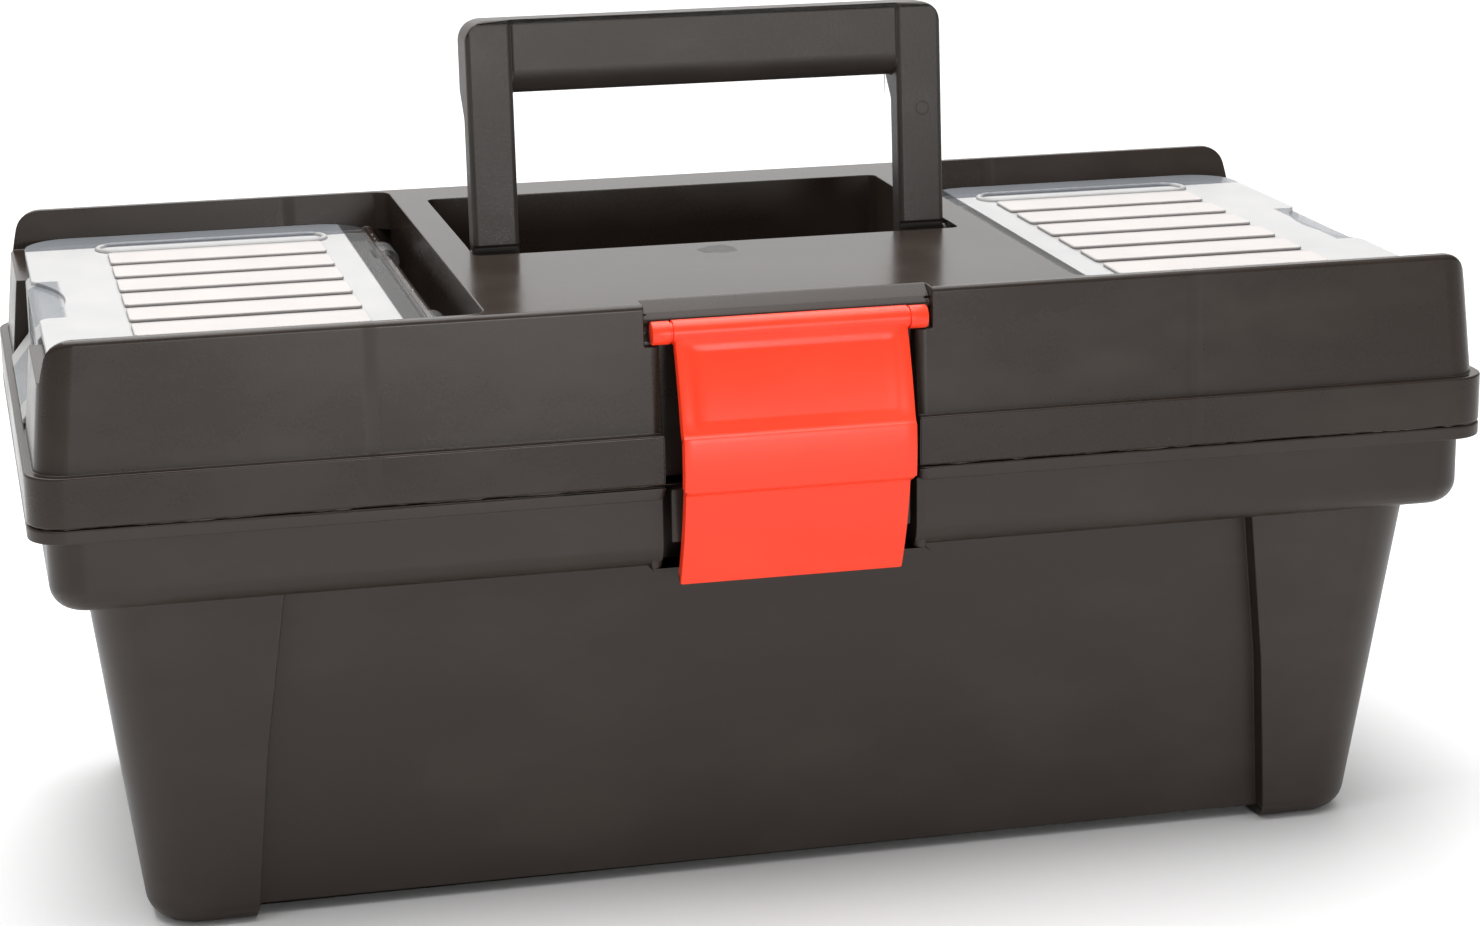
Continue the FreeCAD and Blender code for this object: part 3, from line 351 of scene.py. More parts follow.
@dataclass(frozen=True)
class Moulded:
    """Moulded plastic: a fine grain, cloudy flow marks and polished upward faces.

    Attributes:
        name: the material's name.
        colour: the plastic's own colour.
        light: the colour of its paler clouds and scuffs.
        roughness: of the grained walls.
        polish: roughness of faces that look up.
        gloss: index of refraction, which sets how much a face mirrors.
        mottle: how much the gloss changes from cloud to cloud.
        grain: size of the grain.
        depth: depth of the grain.
        clouds: size of the flow marks.
        streaks: upright flow lines.
    """

    name: str
    colour: Colour
    light: Colour
    roughness: float = 0.42
    polish: float = 0.42
    gloss: float = 1.42
    mottle: float = 0.22
    grain: float = 0.6 * MM
    depth: float = 0.012 * MM
    clouds: float = 22 * MM
    streaks: tuple[Streak, ...] = ()

    def build(self) -> bpy.types.Material:
        """Makes the material."""
        paint = Paint(self.name)
        grain = paint.noise(self.grain, 3.0)
        clouds = paint.noise(self.clouds, 5.0, (1.6, 1.6, 0.8))
        scuffs = paint.noise(1.4 * MM, 2.0, (6.0, 1.0, 0.4)).rise(0.62, 0.80)
        facing = paint.up.rise(0.80, 0.97)
        share = clouds.rise(0.42, 0.72) * 0.45 + scuffs * 0.15 + grain * 0.12
        roughness = (self.roughness + (self.polish - self.roughness) * facing
                     + (clouds - 0.5) * self.mottle + (grain - 0.5) * 0.10)
        height = grain * (1.0 - facing * 0.6) + clouds * 2.0
        for streak in self.streaks:
            line = (abs(paint.x - streak.x).rise(streak.width, streak.width * 0.2)
                    * paint.z.rise(streak.above, streak.above + 2 * MM))
            roughness = roughness + line * 0.10
            share = share - line * 0.25
            height = height - line * 2.0
        return paint.finish({
            "Base Color": paint.mix(share.at_least(0.0), self.colour, self.light),
            "Roughness": roughness.at_least(0.05),
            "IOR": self.gloss,
            "Normal": paint.bump(height, self.depth),
        })


@dataclass(frozen=True)
class Frosted:
    """Milky clear plastic: white strips on a frosted plate between glossy borders.

    Attributes:
        name: the material's name.
        frost: colour of the frosted plate.
        strip: colour of the strips' tops.
        groove_shadow: colour of the painted shadow beside each strip.
        edge: colour of the glossy borders and scoops.
        level: the height of the plate's upper face.
        half_width: half the width of the frosted plate along Y.
        strip_span: where the strips start and end, as distances from the middle.
        strip_half: half the width of the rows of strips along Y.
        pitch: distance from strip to strip.
        clip: up to which distance from the middle the clips reach.
        scoop: from which distance on the end is scooped.
        scoop_half: half the length of the scoop.
    """

    name: str
    frost: Colour
    strip: Colour
    groove_shadow: Colour
    edge: Colour
    level: float
    half_width: float
    strip_span: Spot
    strip_half: float
    pitch: float
    clip: float
    scoop: float
    scoop_half: float

    def build(self) -> bpy.types.Material:
        """Makes the material."""
        paint = Paint(self.name)
        reach = abs(paint.x)
        across = abs(paint.y)
        soft = 0.6 * MM
        first, last = self.strip_span
        scooped = reach.over(self.scoop, soft) * across.under(self.scoop_half, soft)
        field = across.under(self.half_width, soft) * (1.0 - scooped)
        rows = (reach.over(first, soft) * reach.under(last, soft)
                * across.under(self.strip_half, soft))
        high = paint.z.rise(self.level + 0.2 * MM, self.level + 0.7 * MM)
        clear = reach.rise(self.clip + soft, self.clip)
        sparkle = paint.noise(0.5 * MM, 3.0)
        smear = paint.noise(9 * MM, 3.0, (1.0, 2.0, 1.0))
        plate = paint.mix(field * (0.80 + (smear - 0.5) * 0.5), self.edge, self.frost)
        topped = paint.mix(rows * high * (0.85 + (smear - 0.5) * 0.4), plate, self.strip)
        # Painted shadow: a soft darker band repeats at the strip pitch beside each strip and
        # stands for the shade that the raised strips cast.
        shade = (paint.y + self.pitch * 0.06).wave(self.pitch).rise(0.30, 0.98)
        colour = paint.mix(rows * shade * (0.62 + (smear - 0.5) * 0.5), topped, self.groove_shadow)
        alpha = 0.66 + field * 0.30 + (smear - 0.5) * 0.06
        material = paint.finish({
            "Base Color": colour,
            "Roughness": 0.16 + field * 0.28 + (smear - 0.5) * 0.12,
            "Alpha": (alpha * (1.0 - clear * 0.85)).at_least(0.0).at_most(1.0),
            "IOR": 1.45,
            "Normal": paint.bump(field * (0.4 + sparkle) + smear * 2.0, 0.02 * MM),
        })
        material.surface_render_method = "BLENDED"
        return material


@dataclass(frozen=True)
class Wirework:
    """Drawn and plated steel wire.

    Attributes:
        name: the material's name.
        colour: the metal's colour.
    """

    name: str
    colour: Colour

    def build(self) -> bpy.types.Material:
        """Makes the material."""
        paint = Paint(self.name)
        drawn = paint.noise(0.25 * MM, 2.0, (30.0, 1.0, 1.0))
        dull = tuple(c * 0.6 for c in self.colour)
        return paint.finish({
            "Base Color": paint.mix(drawn, self.colour, dull),
            "Metallic": 1.0,
            "Roughness": 0.28 + drawn * 0.2,
            "Normal": paint.bump(drawn, 0.01 * MM),
        })


@dataclass(frozen=True)
class Backdrop:
    """The floor's plain pale paper."""

    name: str = "paper"
    colour: Colour = (0.92, 0.92, 0.92)

    def build(self) -> bpy.types.Material:
        """Makes the material."""
        paint = Paint(self.name)
        fibre = paint.noise(4 * MM, 3.0)
        darker = tuple(c * 0.99 for c in self.colour)
        return paint.finish({"Base Color": paint.mix(fibre, self.colour, darker),
                             "Roughness": 0.9})


CHARCOAL: Colour = (0.0235, 0.0160, 0.0120)
CHARCOAL_LIGHT: Colour = (0.0420, 0.0310, 0.0245)
COVER_LEVEL = 128.0 * MM
STRIP_SPAN: Spot = (84.2 * MM, 134.5 * MM)
STRIP_PITCH = 16.0 * MM
STREAKS = (Streak(-89 * MM, 2.2 * MM, 96 * MM), Streak(90.5 * MM, 2.2 * MM, 96 * MM))

BODY_FINISH = Moulded("charcoal_wall", CHARCOAL, CHARCOAL_LIGHT, roughness=0.40, gloss=1.39)
LID_FINISH = Moulded("charcoal_lid", CHARCOAL, CHARCOAL_LIGHT, roughness=0.29, polish=0.20,
                     gloss=1.36, mottle=0.30, streaks=STREAKS)
HANDLE_FINISH = Moulded("charcoal_grip", (0.036, 0.029, 0.025), (0.062, 0.052, 0.045),
                        roughness=0.46, polish=0.46, grain=0.7 * MM, depth=0.035 * MM)
TRAY_FINISH = Moulded("charcoal_tray", CHARCOAL, CHARCOAL_LIGHT, roughness=0.5, polish=0.4)
# The flash ridges are real; their paler colour is partly a painted highlight on the burrs.
FLASH_HIGHLIGHT_FINISH = Moulded("charcoal_flash_highlight", CHARCOAL_LIGHT, (0.11, 0.10, 0.09), roughness=0.3,
                       polish=0.3)
SCAR_FINISH = Moulded("charcoal_scar", (0.012, 0.010, 0.009), CHARCOAL, roughness=0.45,
                      polish=0.45, gloss=1.35)
LATCH_FINISH = Moulded("signal_red", (0.95, 0.045, 0.012), (1.0, 0.070, 0.026), roughness=0.36,
                       polish=0.3, depth=0.006 * MM)
# Its groove colour is a painted shadow beside the strips.
COVER_FINISH = Frosted("milky_clear", frost=(0.41, 0.402, 0.395), strip=(0.455, 0.423, 0.404),
                       groove_shadow=(0.27, 0.245, 0.235), edge=(0.27, 0.285, 0.305), level=COVER_LEVEL,
                       half_width=57 * MM, strip_span=STRIP_SPAN, strip_half=46.6 * MM,
                       pitch=STRIP_PITCH, clip=77 * MM, scoop=147.4 * MM, scoop_half=20 * MM)
PIN_FINISH = Wirework("plated_wire", (0.62, 0.62, 0.63))


class Shelf:
    """Builds each finish once."""

    def __init__(self) -> None:
        """Starts empty."""
        self._made: dict[str, bpy.types.Material] = {}

    def get(self, finish: Moulded | Frosted | Wirework | Backdrop) -> bpy.types.Material:
        """The material of a finish.

        Args:
            finish: what to look like.

        Returns:
            The material, made at the first call.
        """
        if finish.name not in self._made:
            self._made[finish.name] = finish.build()
        return self._made[finish.name]


SHELF = Shelf()


def add_object(name: str, mesh: bpy.types.Mesh) -> bpy.types.Object:
    """Puts a mesh in the scene.

    Args:
        name: the object's name.
        mesh: its mesh, already in place.

    Returns:
        The object, at the origin.
    """
    made = bpy.data.objects.new(name, mesh)
    bpy.context.scene.collection.objects.link(made)
    return made


def from_bmesh(name: str, shape: bmesh.types.BMesh) -> bpy.types.Object:
    """Turns a bmesh into an object and frees it.

    Args:
        name: the object's name.
        shape: the shape.

    Returns:
        The object.
    """
    mesh = bpy.data.meshes.new(name)
    shape.to_mesh(mesh)
    shape.free()
    return add_object(name, mesh)


def flatten_modifiers(piece: bpy.types.Object) -> None:
    """Puts the result of an object's modifiers into its mesh and removes them.

    Args:
        piece: the object.
    """
    graph = bpy.context.evaluated_depsgraph_get()
    mesh = bpy.data.meshes.new_from_object(piece.evaluated_get(graph))
    piece.modifiers.clear()
    piece.data = mesh


def settle(piece: bpy.types.Object, sharp: float = 35.0) -> bpy.types.Object:
    """Turns an object with modifiers into a plain, smoothly shaded mesh.

    Args:
        piece: the object.
        sharp: edges that turn more than this many degrees stay sharp.

    Returns:
        The same object.
    """
    flatten_modifiers(piece)
    piece.data.name = piece.name
    piece.data.shade_smooth()
    piece.data.set_sharp_from_angle(angle=math.radians(sharp))
    return piece


def bevel(piece: bpy.types.Object, width: float, above: float = 28.0,
          segments: int = 2) -> bpy.types.Object:
    """Rounds every edge that turns more than an angle.

    Args:
        piece: the object.
        width: the width of the rounding.
        above: the angle, in degrees.
        segments: how finely it is rounded.

    Returns:
        The same object, as a plain mesh.
    """
    rounding = piece.modifiers.new("rounding", "BEVEL")
    rounding.width = width
    rounding.segments = segments
    rounding.limit_method = "ANGLE"
    rounding.angle_limit = math.radians(above)
    rounding.use_clamp_overlap = False
    rounding.miter_outer = "MITER_ARC"
    rounding.harden_normals = False
    settle(piece)
    weighted = piece.modifiers.new("weighted", "WEIGHTED_NORMAL")
    weighted.keep_sharp = True
    weighted.weight = 100
    flatten_modifiers(piece)
    return piece


def skin(rings: Sequence[Sequence[Point | Vector]], around: bool = False) -> bmesh.types.BMesh:
    """A closed skin over rings of points.

    Args:
        rings: the rings, each with as many points as the others.
        around: whether the last ring joins the first. Otherwise both get a cap.

    Returns:
        The shape.
    """
    shape = bmesh.new()
    loops = [[shape.verts.new(spot) for spot in ring] for ring in rings]
    for here, there in zip(loops, loops[1:] + loops[:1] if around else loops[1:]):
        for k, corner in enumerate(here):
            ahead = (k + 1) % len(here)
            shape.faces.new((corner, here[ahead], there[ahead], there[k]))
    if not around:
        shape.faces.new(loops[0])
        shape.faces.new(loops[-1])
    bmesh.ops.recalc_face_normals(shape, faces=shape.faces)
    return shape


@dataclass
class Edges:
    """Edges of a copied solid that are rounded wider than the rest.

    Attributes:
        test: picks the edges.
        width: the width of the rounding.
        segments: how finely it is rounded.
    """

    test: EdgeTest
    width: float
    segments: int = 4


def copy_solid(node: str, name: str, wide: Sequence[Edges] = (),
               change: Callable[[bmesh.types.BMesh], None] | None = None) -> bpy.types.Object:
    """A copy of a CAD solid with its flat faces whole again.

    Args:
        node: the CAD node.
        name: the copy's name.
        wide: edges to round first.
        change: what else to do to the shape before its faces are joined.

    Returns:
        The copy.
    """
    shape = bmesh.new()
    shape.from_mesh(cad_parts[node].data)
    if change is not None:
        change(shape)
    bmesh.ops.remove_doubles(shape, verts=shape.verts, dist=SAME_SPOT)
    bmesh.ops.dissolve_degenerate(shape, edges=shape.edges, dist=SAME_SPOT)
    bmesh.ops.dissolve_limit(shape, angle_limit=SAME_PLANE, verts=shape.verts,
                             edges=shape.edges)
    for choice in wide:
        picked = [edge for edge in shape.edges if choice.test(edge)]
        bmesh.ops.bevel(shape, geom=picked, offset=choice.width, segments=choice.segments,
                        profile=0.5, affect="EDGES", clamp_overlap=False)
    return from_bmesh(name, shape)


def direction(edge: bmesh.types.BMEdge) -> Vector:
    """The direction of an edge."""
    return (edge.verts[1].co - edge.verts[0].co).normalized()


def middle(edge: bmesh.types.BMEdge) -> Vector:
    """The middle of an edge."""
    return (edge.verts[0].co + edge.verts[1].co) / 2


def turned(edge: bmesh.types.BMEdge) -> bool:
    """Whether two faces meet at the edge with a clear crease."""
    return len(edge.link_faces) == 2 and edge.calc_face_angle(0.0) > CREASE


def rounded_path(half_x: float, half_y: float, level: float, radius: float,
                 steps: int = 8) -> list[Point]:
    """A closed rectangle with round corners.

    Args:
        half_x: half its length.
        half_y: half its width.
        level: its height.
        radius: of the corners.
        steps: points on each corner.

    Returns:
        The points, counter-clockwise from the right.
    """
    points: list[Point] = []
    for corner, (sx, sy) in enumerate(((1, 1), (-1, 1), (-1, -1), (1, -1))):
        for step in range(steps + 1):
            angle = math.radians(90 * (corner + step / steps))
            points.append(((half_x - radius) * sx + radius * math.cos(angle),
                           (half_y - radius) * sy + radius * math.sin(angle), level))
    return points


def path_object(name: str, points: Sequence[Point], closed: bool) -> bpy.types.Object:
    """A line of edges for a node tree to follow.

    Args:
        name: the object's name.
        points: the line's points.
        closed: whether it ends where it starts.

    Returns:
        The object.
    """
    count = len(points)
    edges = [(k, (k + 1) % count) for k in range(count if closed else count - 1)]
    mesh = bpy.data.meshes.new(name)
    mesh.from_pydata(points, edges, [])
    return add_object(name, mesh)


class GrownTree(Recipe):
    """A geometry node tree with named inputs."""

    def __init__(self, name: str, sizes: dict[str, str]) -> None:
        """Makes the tree's sockets.

        Args:
            name: the tree's name.
            sizes: the type of each named input.
        """
        tree = bpy.data.node_groups.new(name, "GeometryNodeTree")
        face = tree.interface
        face.new_socket("Geometry", in_out="INPUT", socket_type="NodeSocketGeometry")
        for label, kind in sizes.items():
            face.new_socket(label, in_out="INPUT", socket_type=kind)
        face.new_socket("Material", in_out="INPUT", socket_type="NodeSocketMaterial")
        face.new_socket("Geometry", in_out="OUTPUT", socket_type="NodeSocketGeometry")
        super().__init__(tree)
        self.inputs = self.node("NodeGroupInput")

    def size(self, label: str) -> Wire:
        """A named input as a number."""
        return self.wire(self.inputs, label)

    def end(self, geometry: bpy.types.NodeSocket) -> None:
        """Realizes the result and gives it its material.

        Args:
            geometry: the result.
        """
        real = self.node("GeometryNodeRealizeInstances", sockets={0: geometry})
        dressed = self.node("GeometryNodeSetMaterial", sockets={
            "Geometry": real.outputs[0], "Material": self.inputs.outputs["Material"]})
        self.node("NodeGroupOutput", sockets={0: dressed.outputs[0]})

    def apply(self, piece: bpy.types.Object, values: dict[str, object]) -> bpy.types.Object:
        """Runs the tree on an object and keeps the result as a plain mesh.

        Args:
            piece: the object whose mesh goes in.
            values: the named inputs.

        Returns:
            The same object.
        """
        growth = piece.modifiers.new("growth", "NODES")
        growth.node_group = self.tree
        for item in self.tree.interface.items_tree:
            if item.item_type == "SOCKET" and item.in_out == "INPUT" and item.name in values:
                growth[item.identifier] = values[item.name]
        return settle(piece)


def relief_tree() -> GrownTree:
    """Raised strips and oblong rings on a plate.

    Returns:
        The tree. Its geometry input is the plate.
    """
    floats = ("Strip Length", "Strip Width", "Strip Pitch", "Strip Corner", "Strip Height",
              "Field Middle", "Level", "Ring Length", "Ring Width", "Ring Place", "Ring Bead")
    grown = GrownTree("cover_relief", {"Strip Count": "NodeSocketInt",
                                       **dict.fromkeys(floats, "NodeSocketFloat")})
    outline = grown.node("GeometryNodeCurvePrimitiveQuadrilateral", sockets={
        "Width": grown.size("Strip Length"), "Height": grown.size("Strip Width")})
    round_outline = grown.node("GeometryNodeFilletCurve", {"mode": "POLY"}, {
        "Curve": outline.outputs[0], "Radius": grown.size("Strip Corner"), "Count": 4})
    filled = grown.node("GeometryNodeFillCurve", {"mode": "NGONS"},
                        {"Curve": round_outline.outputs[0]})
    raised = grown.node("GeometryNodeExtrudeMesh", {"mode": "FACES"}, {
        "Mesh": filled.outputs[0], "Offset Scale": grown.size("Strip Height")})
    under = grown.node("GeometryNodeFlipFaces", sockets={0: filled.outputs[0]})
    strip = grown.node("GeometryNodeJoinGeometry")
    for part in (raised, under):
        grown.tree.links.new(part.outputs[0], strip.inputs[0])
    whole = grown.node("GeometryNodeMergeByDistance", sockets={
        "Geometry": strip.outputs[0], "Distance": 0.01 * MM})
    first = grown.size("Strip Pitch") * (grown.size("Strip Count") - 1) * -0.5
    start = grown.node("ShaderNodeCombineXYZ", sockets={
        0: grown.size("Field Middle"), 1: first, 2: grown.size("Level")})
    step = grown.node("ShaderNodeCombineXYZ", sockets={1: grown.size("Strip Pitch")})
    row = grown.node("GeometryNodeMeshLine", sockets={
        "Count": grown.size("Strip Count"), "Start Location": start.outputs[0],
        "Offset": step.outputs[0]})
    strips = grown.node("GeometryNodeInstanceOnPoints", sockets={
        "Points": row.outputs[0], "Instance": whole.outputs[0]})

    ring = grown.node("GeometryNodeCurvePrimitiveQuadrilateral", sockets={
        "Width": grown.size("Ring Length"), "Height": grown.size("Ring Width")})
    round_ring = grown.node("GeometryNodeFilletCurve", {"mode": "POLY"}, {
        "Curve": ring.outputs[0], "Radius": grown.size("Ring Width") * 0.49, "Count": 10})
    bead = grown.node("GeometryNodeCurvePrimitiveCircle", sockets={
        "Resolution": 12, "Radius": grown.size("Ring Bead")})
    tube = grown.node("GeometryNodeCurveToMesh", sockets={
        "Curve": round_ring.outputs[0], "Profile Curve": bead.outputs[0]})
    side = grown.node("ShaderNodeCombineXYZ", sockets={
        0: grown.size("Field Middle"), 1: grown.size("Ring Place") * -1.0,
        2: grown.size("Level")})
    across = grown.node("ShaderNodeCombineXYZ", sockets={1: grown.size("Ring Place") * 2.0})
    pair = grown.node("GeometryNodeMeshLine", sockets={
        "Count": 2, "Start Location": side.outputs[0], "Offset": across.outputs[0]})
    rings = grown.node("GeometryNodeInstanceOnPoints", sockets={
        "Points": pair.outputs[0], "Instance": tube.outputs[0]})

    joined = grown.node("GeometryNodeJoinGeometry")
    for part in (strips.outputs[0], rings.outputs[0], grown.inputs.outputs["Geometry"]):
        grown.tree.links.new(part, joined.inputs[0])
    grown.end(joined.outputs[0])
    return grown


def flash_tree() -> GrownTree:
    """An uneven thin ridge along a line, as a mould's parting leaves it.

    Returns:
        The tree. Its geometry input is the line.
    """
    floats = ("Step", "Thickness", "Patch Size", "Seed")
    grown = GrownTree("parting_flash", dict.fromkeys(floats, "NodeSocketFloat"))
    line = grown.node("GeometryNodeMeshToCurve",
                      sockets={"Mesh": grown.inputs.outputs["Geometry"]})
    fine = grown.node("GeometryNodeResampleCurve", {"mode": "LENGTH"}, {
        "Curve": line.outputs[0], "Length": grown.size("Step")})
    patches = grown.node("ShaderNodeTexNoise", {"noise_dimensions": "4D"}, {
        "W": grown.size("Seed"), "Scale": 1.0 / grown.size("Patch Size"), "Detail": 3.0,
        "Roughness": 0.8})
    swell = grown.wire(patches, 0).rise(0.42, 0.66) * grown.size("Thickness")
    sized = grown.node("GeometryNodeSetCurveRadius", sockets={
        "Curve": fine.outputs[0], "Radius": swell.at_least(0.02 * MM)})
    bead = grown.node("GeometryNodeCurvePrimitiveCircle",
                      sockets={"Resolution": 5, "Radius": 1.0})
    radius = grown.node("GeometryNodeInputRadius")
    tube = grown.node("GeometryNodeCurveToMesh", sockets={
        "Curve": sized.outputs[0], "Profile Curve": bead.outputs[0],
        "Scale": radius.outputs[0], "Fill Caps": True})
    grown.end(tube.outputs[0])
    return grown


@dataclass
class SubAssembly:
    """One moulding with what belongs to it.

    Attributes:
        node: the CAD node that it dresses.
        body: the body that it rides on.
        slot: the record's material slot; not used.
        finish: its material.
        edge: the rounding of its sharp edges.
    """

    node: str
    body: Body
    slot: Slot
    finish: Moulded | Frosted | Wirework
    edge: float = 0.3 * MM

    def build(self) -> list[bpy.types.Object]:
        """Makes the pieces."""
        return [self.dress(bevel(copy_solid(self.node, f"{self.node}_shell"), self.edge),
                           stands_for=True)]

    def dress(self, piece: bpy.types.Object, stands_for: bool = False,
              finish: Moulded | Frosted | Wirework | None = None) -> bpy.types.Object:
        """Gives a piece its finish and body.

        Args:
            piece: the piece.
            stands_for: whether it takes the place of the CAD node.
            finish: its material, if it isn't the moulding's own.

        Returns:
            The piece.
        """
        piece.data.materials.clear()
        piece.data.materials.append(SHELF.get(finish or self.finish))
        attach(piece, self.body.value)
        if stands_for:
            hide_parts(self.node)
        LOG.info("%s: %d faces", piece.name, len(piece.data.polygons))
        return piece


@dataclass
class Tub(SubAssembly):
    """The lower box.

    Attributes:
        channel_half: half the width of the channel for the latch.
        channel_round: rounding of the channel's front corners.
        front: where the front faces start.
    """

    channel_half: float = 27.9 * MM
    channel_round: float = 2.2 * MM
    front: float = 73.0 * MM

    def at_channel(self, edge: bmesh.types.BMEdge) -> bool:
        """Whether an edge is a front corner of the channel for the latch."""
        centre = middle(edge)
        return (abs(direction(edge).z) > 0.99 and turned(edge) and centre.y < -self.front
                and abs(abs(centre.x) - self.channel_half) < 0.1 * MM
                and edge.calc_length() > 1.5 * MM)

    def build(self) -> list[bpy.types.Object]:
        """Makes the shell."""
        shell = copy_solid(self.node, "tub_shell",
                           [Edges(self.at_channel, self.channel_round)])
        return [self.dress(bevel(shell, self.edge), stands_for=True)]


@dataclass
class Lid(Tub):
    """The lid with its block, rails and hinge bars.

    Attributes:
        rim_half: half the length and width of the rim.
        rim_corner: rounding of the rim's corners.
        seam_level: the height of its lower edge.
        bar_x: where the hinge bars of the covers stand.
        bar_top: the height of their upper side.
        bar_half: half their length.
        gate: place of the moulding gate on the block.
        gate_depth: how far its scar reaches into the block.
    """

    rim_half: Spot = (159.7 * MM, 78.7 * MM)
    rim_corner: float = 7.8 * MM
    seam_level: float = 96.55 * MM
    bar_x: float = 70.0 * MM
    bar_top: float = 126.4 * MM
    bar_half: float = 71.0 * MM
    gate: Point = (-2.7 * MM, -21.9 * MM, 134.8 * MM)
    gate_depth: float = 0.5 * MM

    def build(self) -> list[bpy.types.Object]:
        """Makes the shell, the mould's flash and the gate's scar."""
        shell = copy_solid(self.node, "lid_shell",
                           [Edges(self.at_channel, self.channel_round)])
        pieces = [self.dress(bevel(shell, self.edge), stands_for=True)]
        flash = flash_tree()
        rim = path_object("seam_flash", rounded_path(*self.rim_half, self.seam_level,
                                                     self.rim_corner), closed=True)
        pieces.append(self.grow_flash(flash, rim, 0.8 * MM, 0.32 * MM, 9 * MM, 3.0))
        for side in Side:
            x = self.bar_x * side.value
            bar = path_object(f"{side.name.lower()}_bar_flash",
                              [(x, -self.bar_half, self.bar_top),
                               (x, self.bar_half, self.bar_top)], closed=False)
            pieces.append(self.grow_flash(flash, bar, 0.7 * MM, 0.45 * MM, 3 * MM,
                                          5.0 + side.value))
        pieces.append(self.gate_scar())
        return pieces

    def grow_flash(self, tree: GrownTree, line: bpy.types.Object, step: float,
                   thickness: float, patch: float, seed: float) -> bpy.types.Object:
        """Turns a line into a ridge of flash.

        Args:
            tree: the tree that grows it.
            line: the line.
            step: the distance between its sections.
            thickness: its largest half-width.
            patch: the length of its uneven patches.
            seed: picks the pattern.

        Returns:
            The ridge.
        """
        # The ridge is real flash; its paler finish is partly a painted highlight.
        grown = tree.apply(line, {"Step": step, "Thickness": thickness, "Patch Size": patch,
                                  "Seed": seed, "Material": SHELF.get(FLASH_HIGHLIGHT_FINISH)})
        return self.dress(grown, finish=FLASH_HIGHLIGHT_FINISH)

    def gate_scar(self) -> bpy.types.Object:
        """The torn-off moulding gate on the block, from a profile of (radius, height) in mm."""
        count = 28
        profile = ((4.4, 0.0), (4.0, 0.10), (3.4, 0.10), (2.9, 0.02), (1.6, 0.03), (0.7, 0.03))
        rings: list[list[Point]] = []
        for radius, height in profile:
            ring: list[Point] = []
            for k in range(count):
                angle = math.tau * k / count
                wave = (1 + 0.10 * math.sin(3 * angle + radius) + 0.06 * math.sin(7 * angle)) * MM
                lift = height * (0.6 + 0.5 * math.sin(2 * angle + 1.3)) * MM
                ring.append((self.gate[0] + radius * math.cos(angle) * wave,
                             self.gate[1] + radius * math.sin(angle) * wave,
                             self.gate[2] + lift))
            rings.append(ring)
        base = [(x, y, z - self.gate_depth) for x, y, z in rings[0]]
        return self.dress(settle(from_bmesh("gate_scar", skin([base, *rings]))),
                          finish=SCAR_FINISH)


@dataclass
class Handle(SubAssembly):
    """The folding handle.

    Attributes:
        axis: a point on its pivot axis.
        lean: how far it leans back, in degrees.
        front: how far its front face lies before the axis.
    """

    axis: Point = (0.0, -2.0 * MM, 131.5 * MM)
    lean: float = 3.9
    front: float = 3.3 * MM

    def to_place(self) -> Matrix:
        """The move from the upright drawing about the pivot to the handle's place."""
        return Matrix.Translation(self.axis) @ Matrix.Rotation(math.radians(-self.lean), 4, "X")

    def ejector_ring(self, name: str, x: float, height: float,
                     radius: float) -> bpy.types.Object:
        """The ring that an ejector pin leaves on the front face.

        Args:
            name: the piece's name.
            x: its place along the handle.
            height: its height above the pivot.
            radius: of the ring.

        Returns:
            The ring.
        """
        count, sides, bead = 32, 8, 0.14 * MM
        rings: list[list[Vector]] = []
        for k in range(count):
            angle = math.tau * k / count
            spoke = Vector((math.cos(angle), 0, math.sin(angle)))
            centre = Vector((x, -self.front, height)) + spoke * radius
            rings.append([centre + spoke * bead * math.cos(turn)
                          + Vector((0, -bead * math.sin(turn) * 0.7, 0))
                          for turn in (math.tau * j / sides for j in range(sides))])
        shape = skin(rings, around=True)
        shape.transform(self.to_place())
        return self.dress(settle(from_bmesh(name, shape)))

    def build(self) -> list[bpy.types.Object]:
        """Makes the shell and the small marks of its mould."""
        pieces = super().build()
        pieces.append(self.ejector_ring("grip_mark", 50.6 * MM, 29.8 * MM, 1.5 * MM))
        return pieces


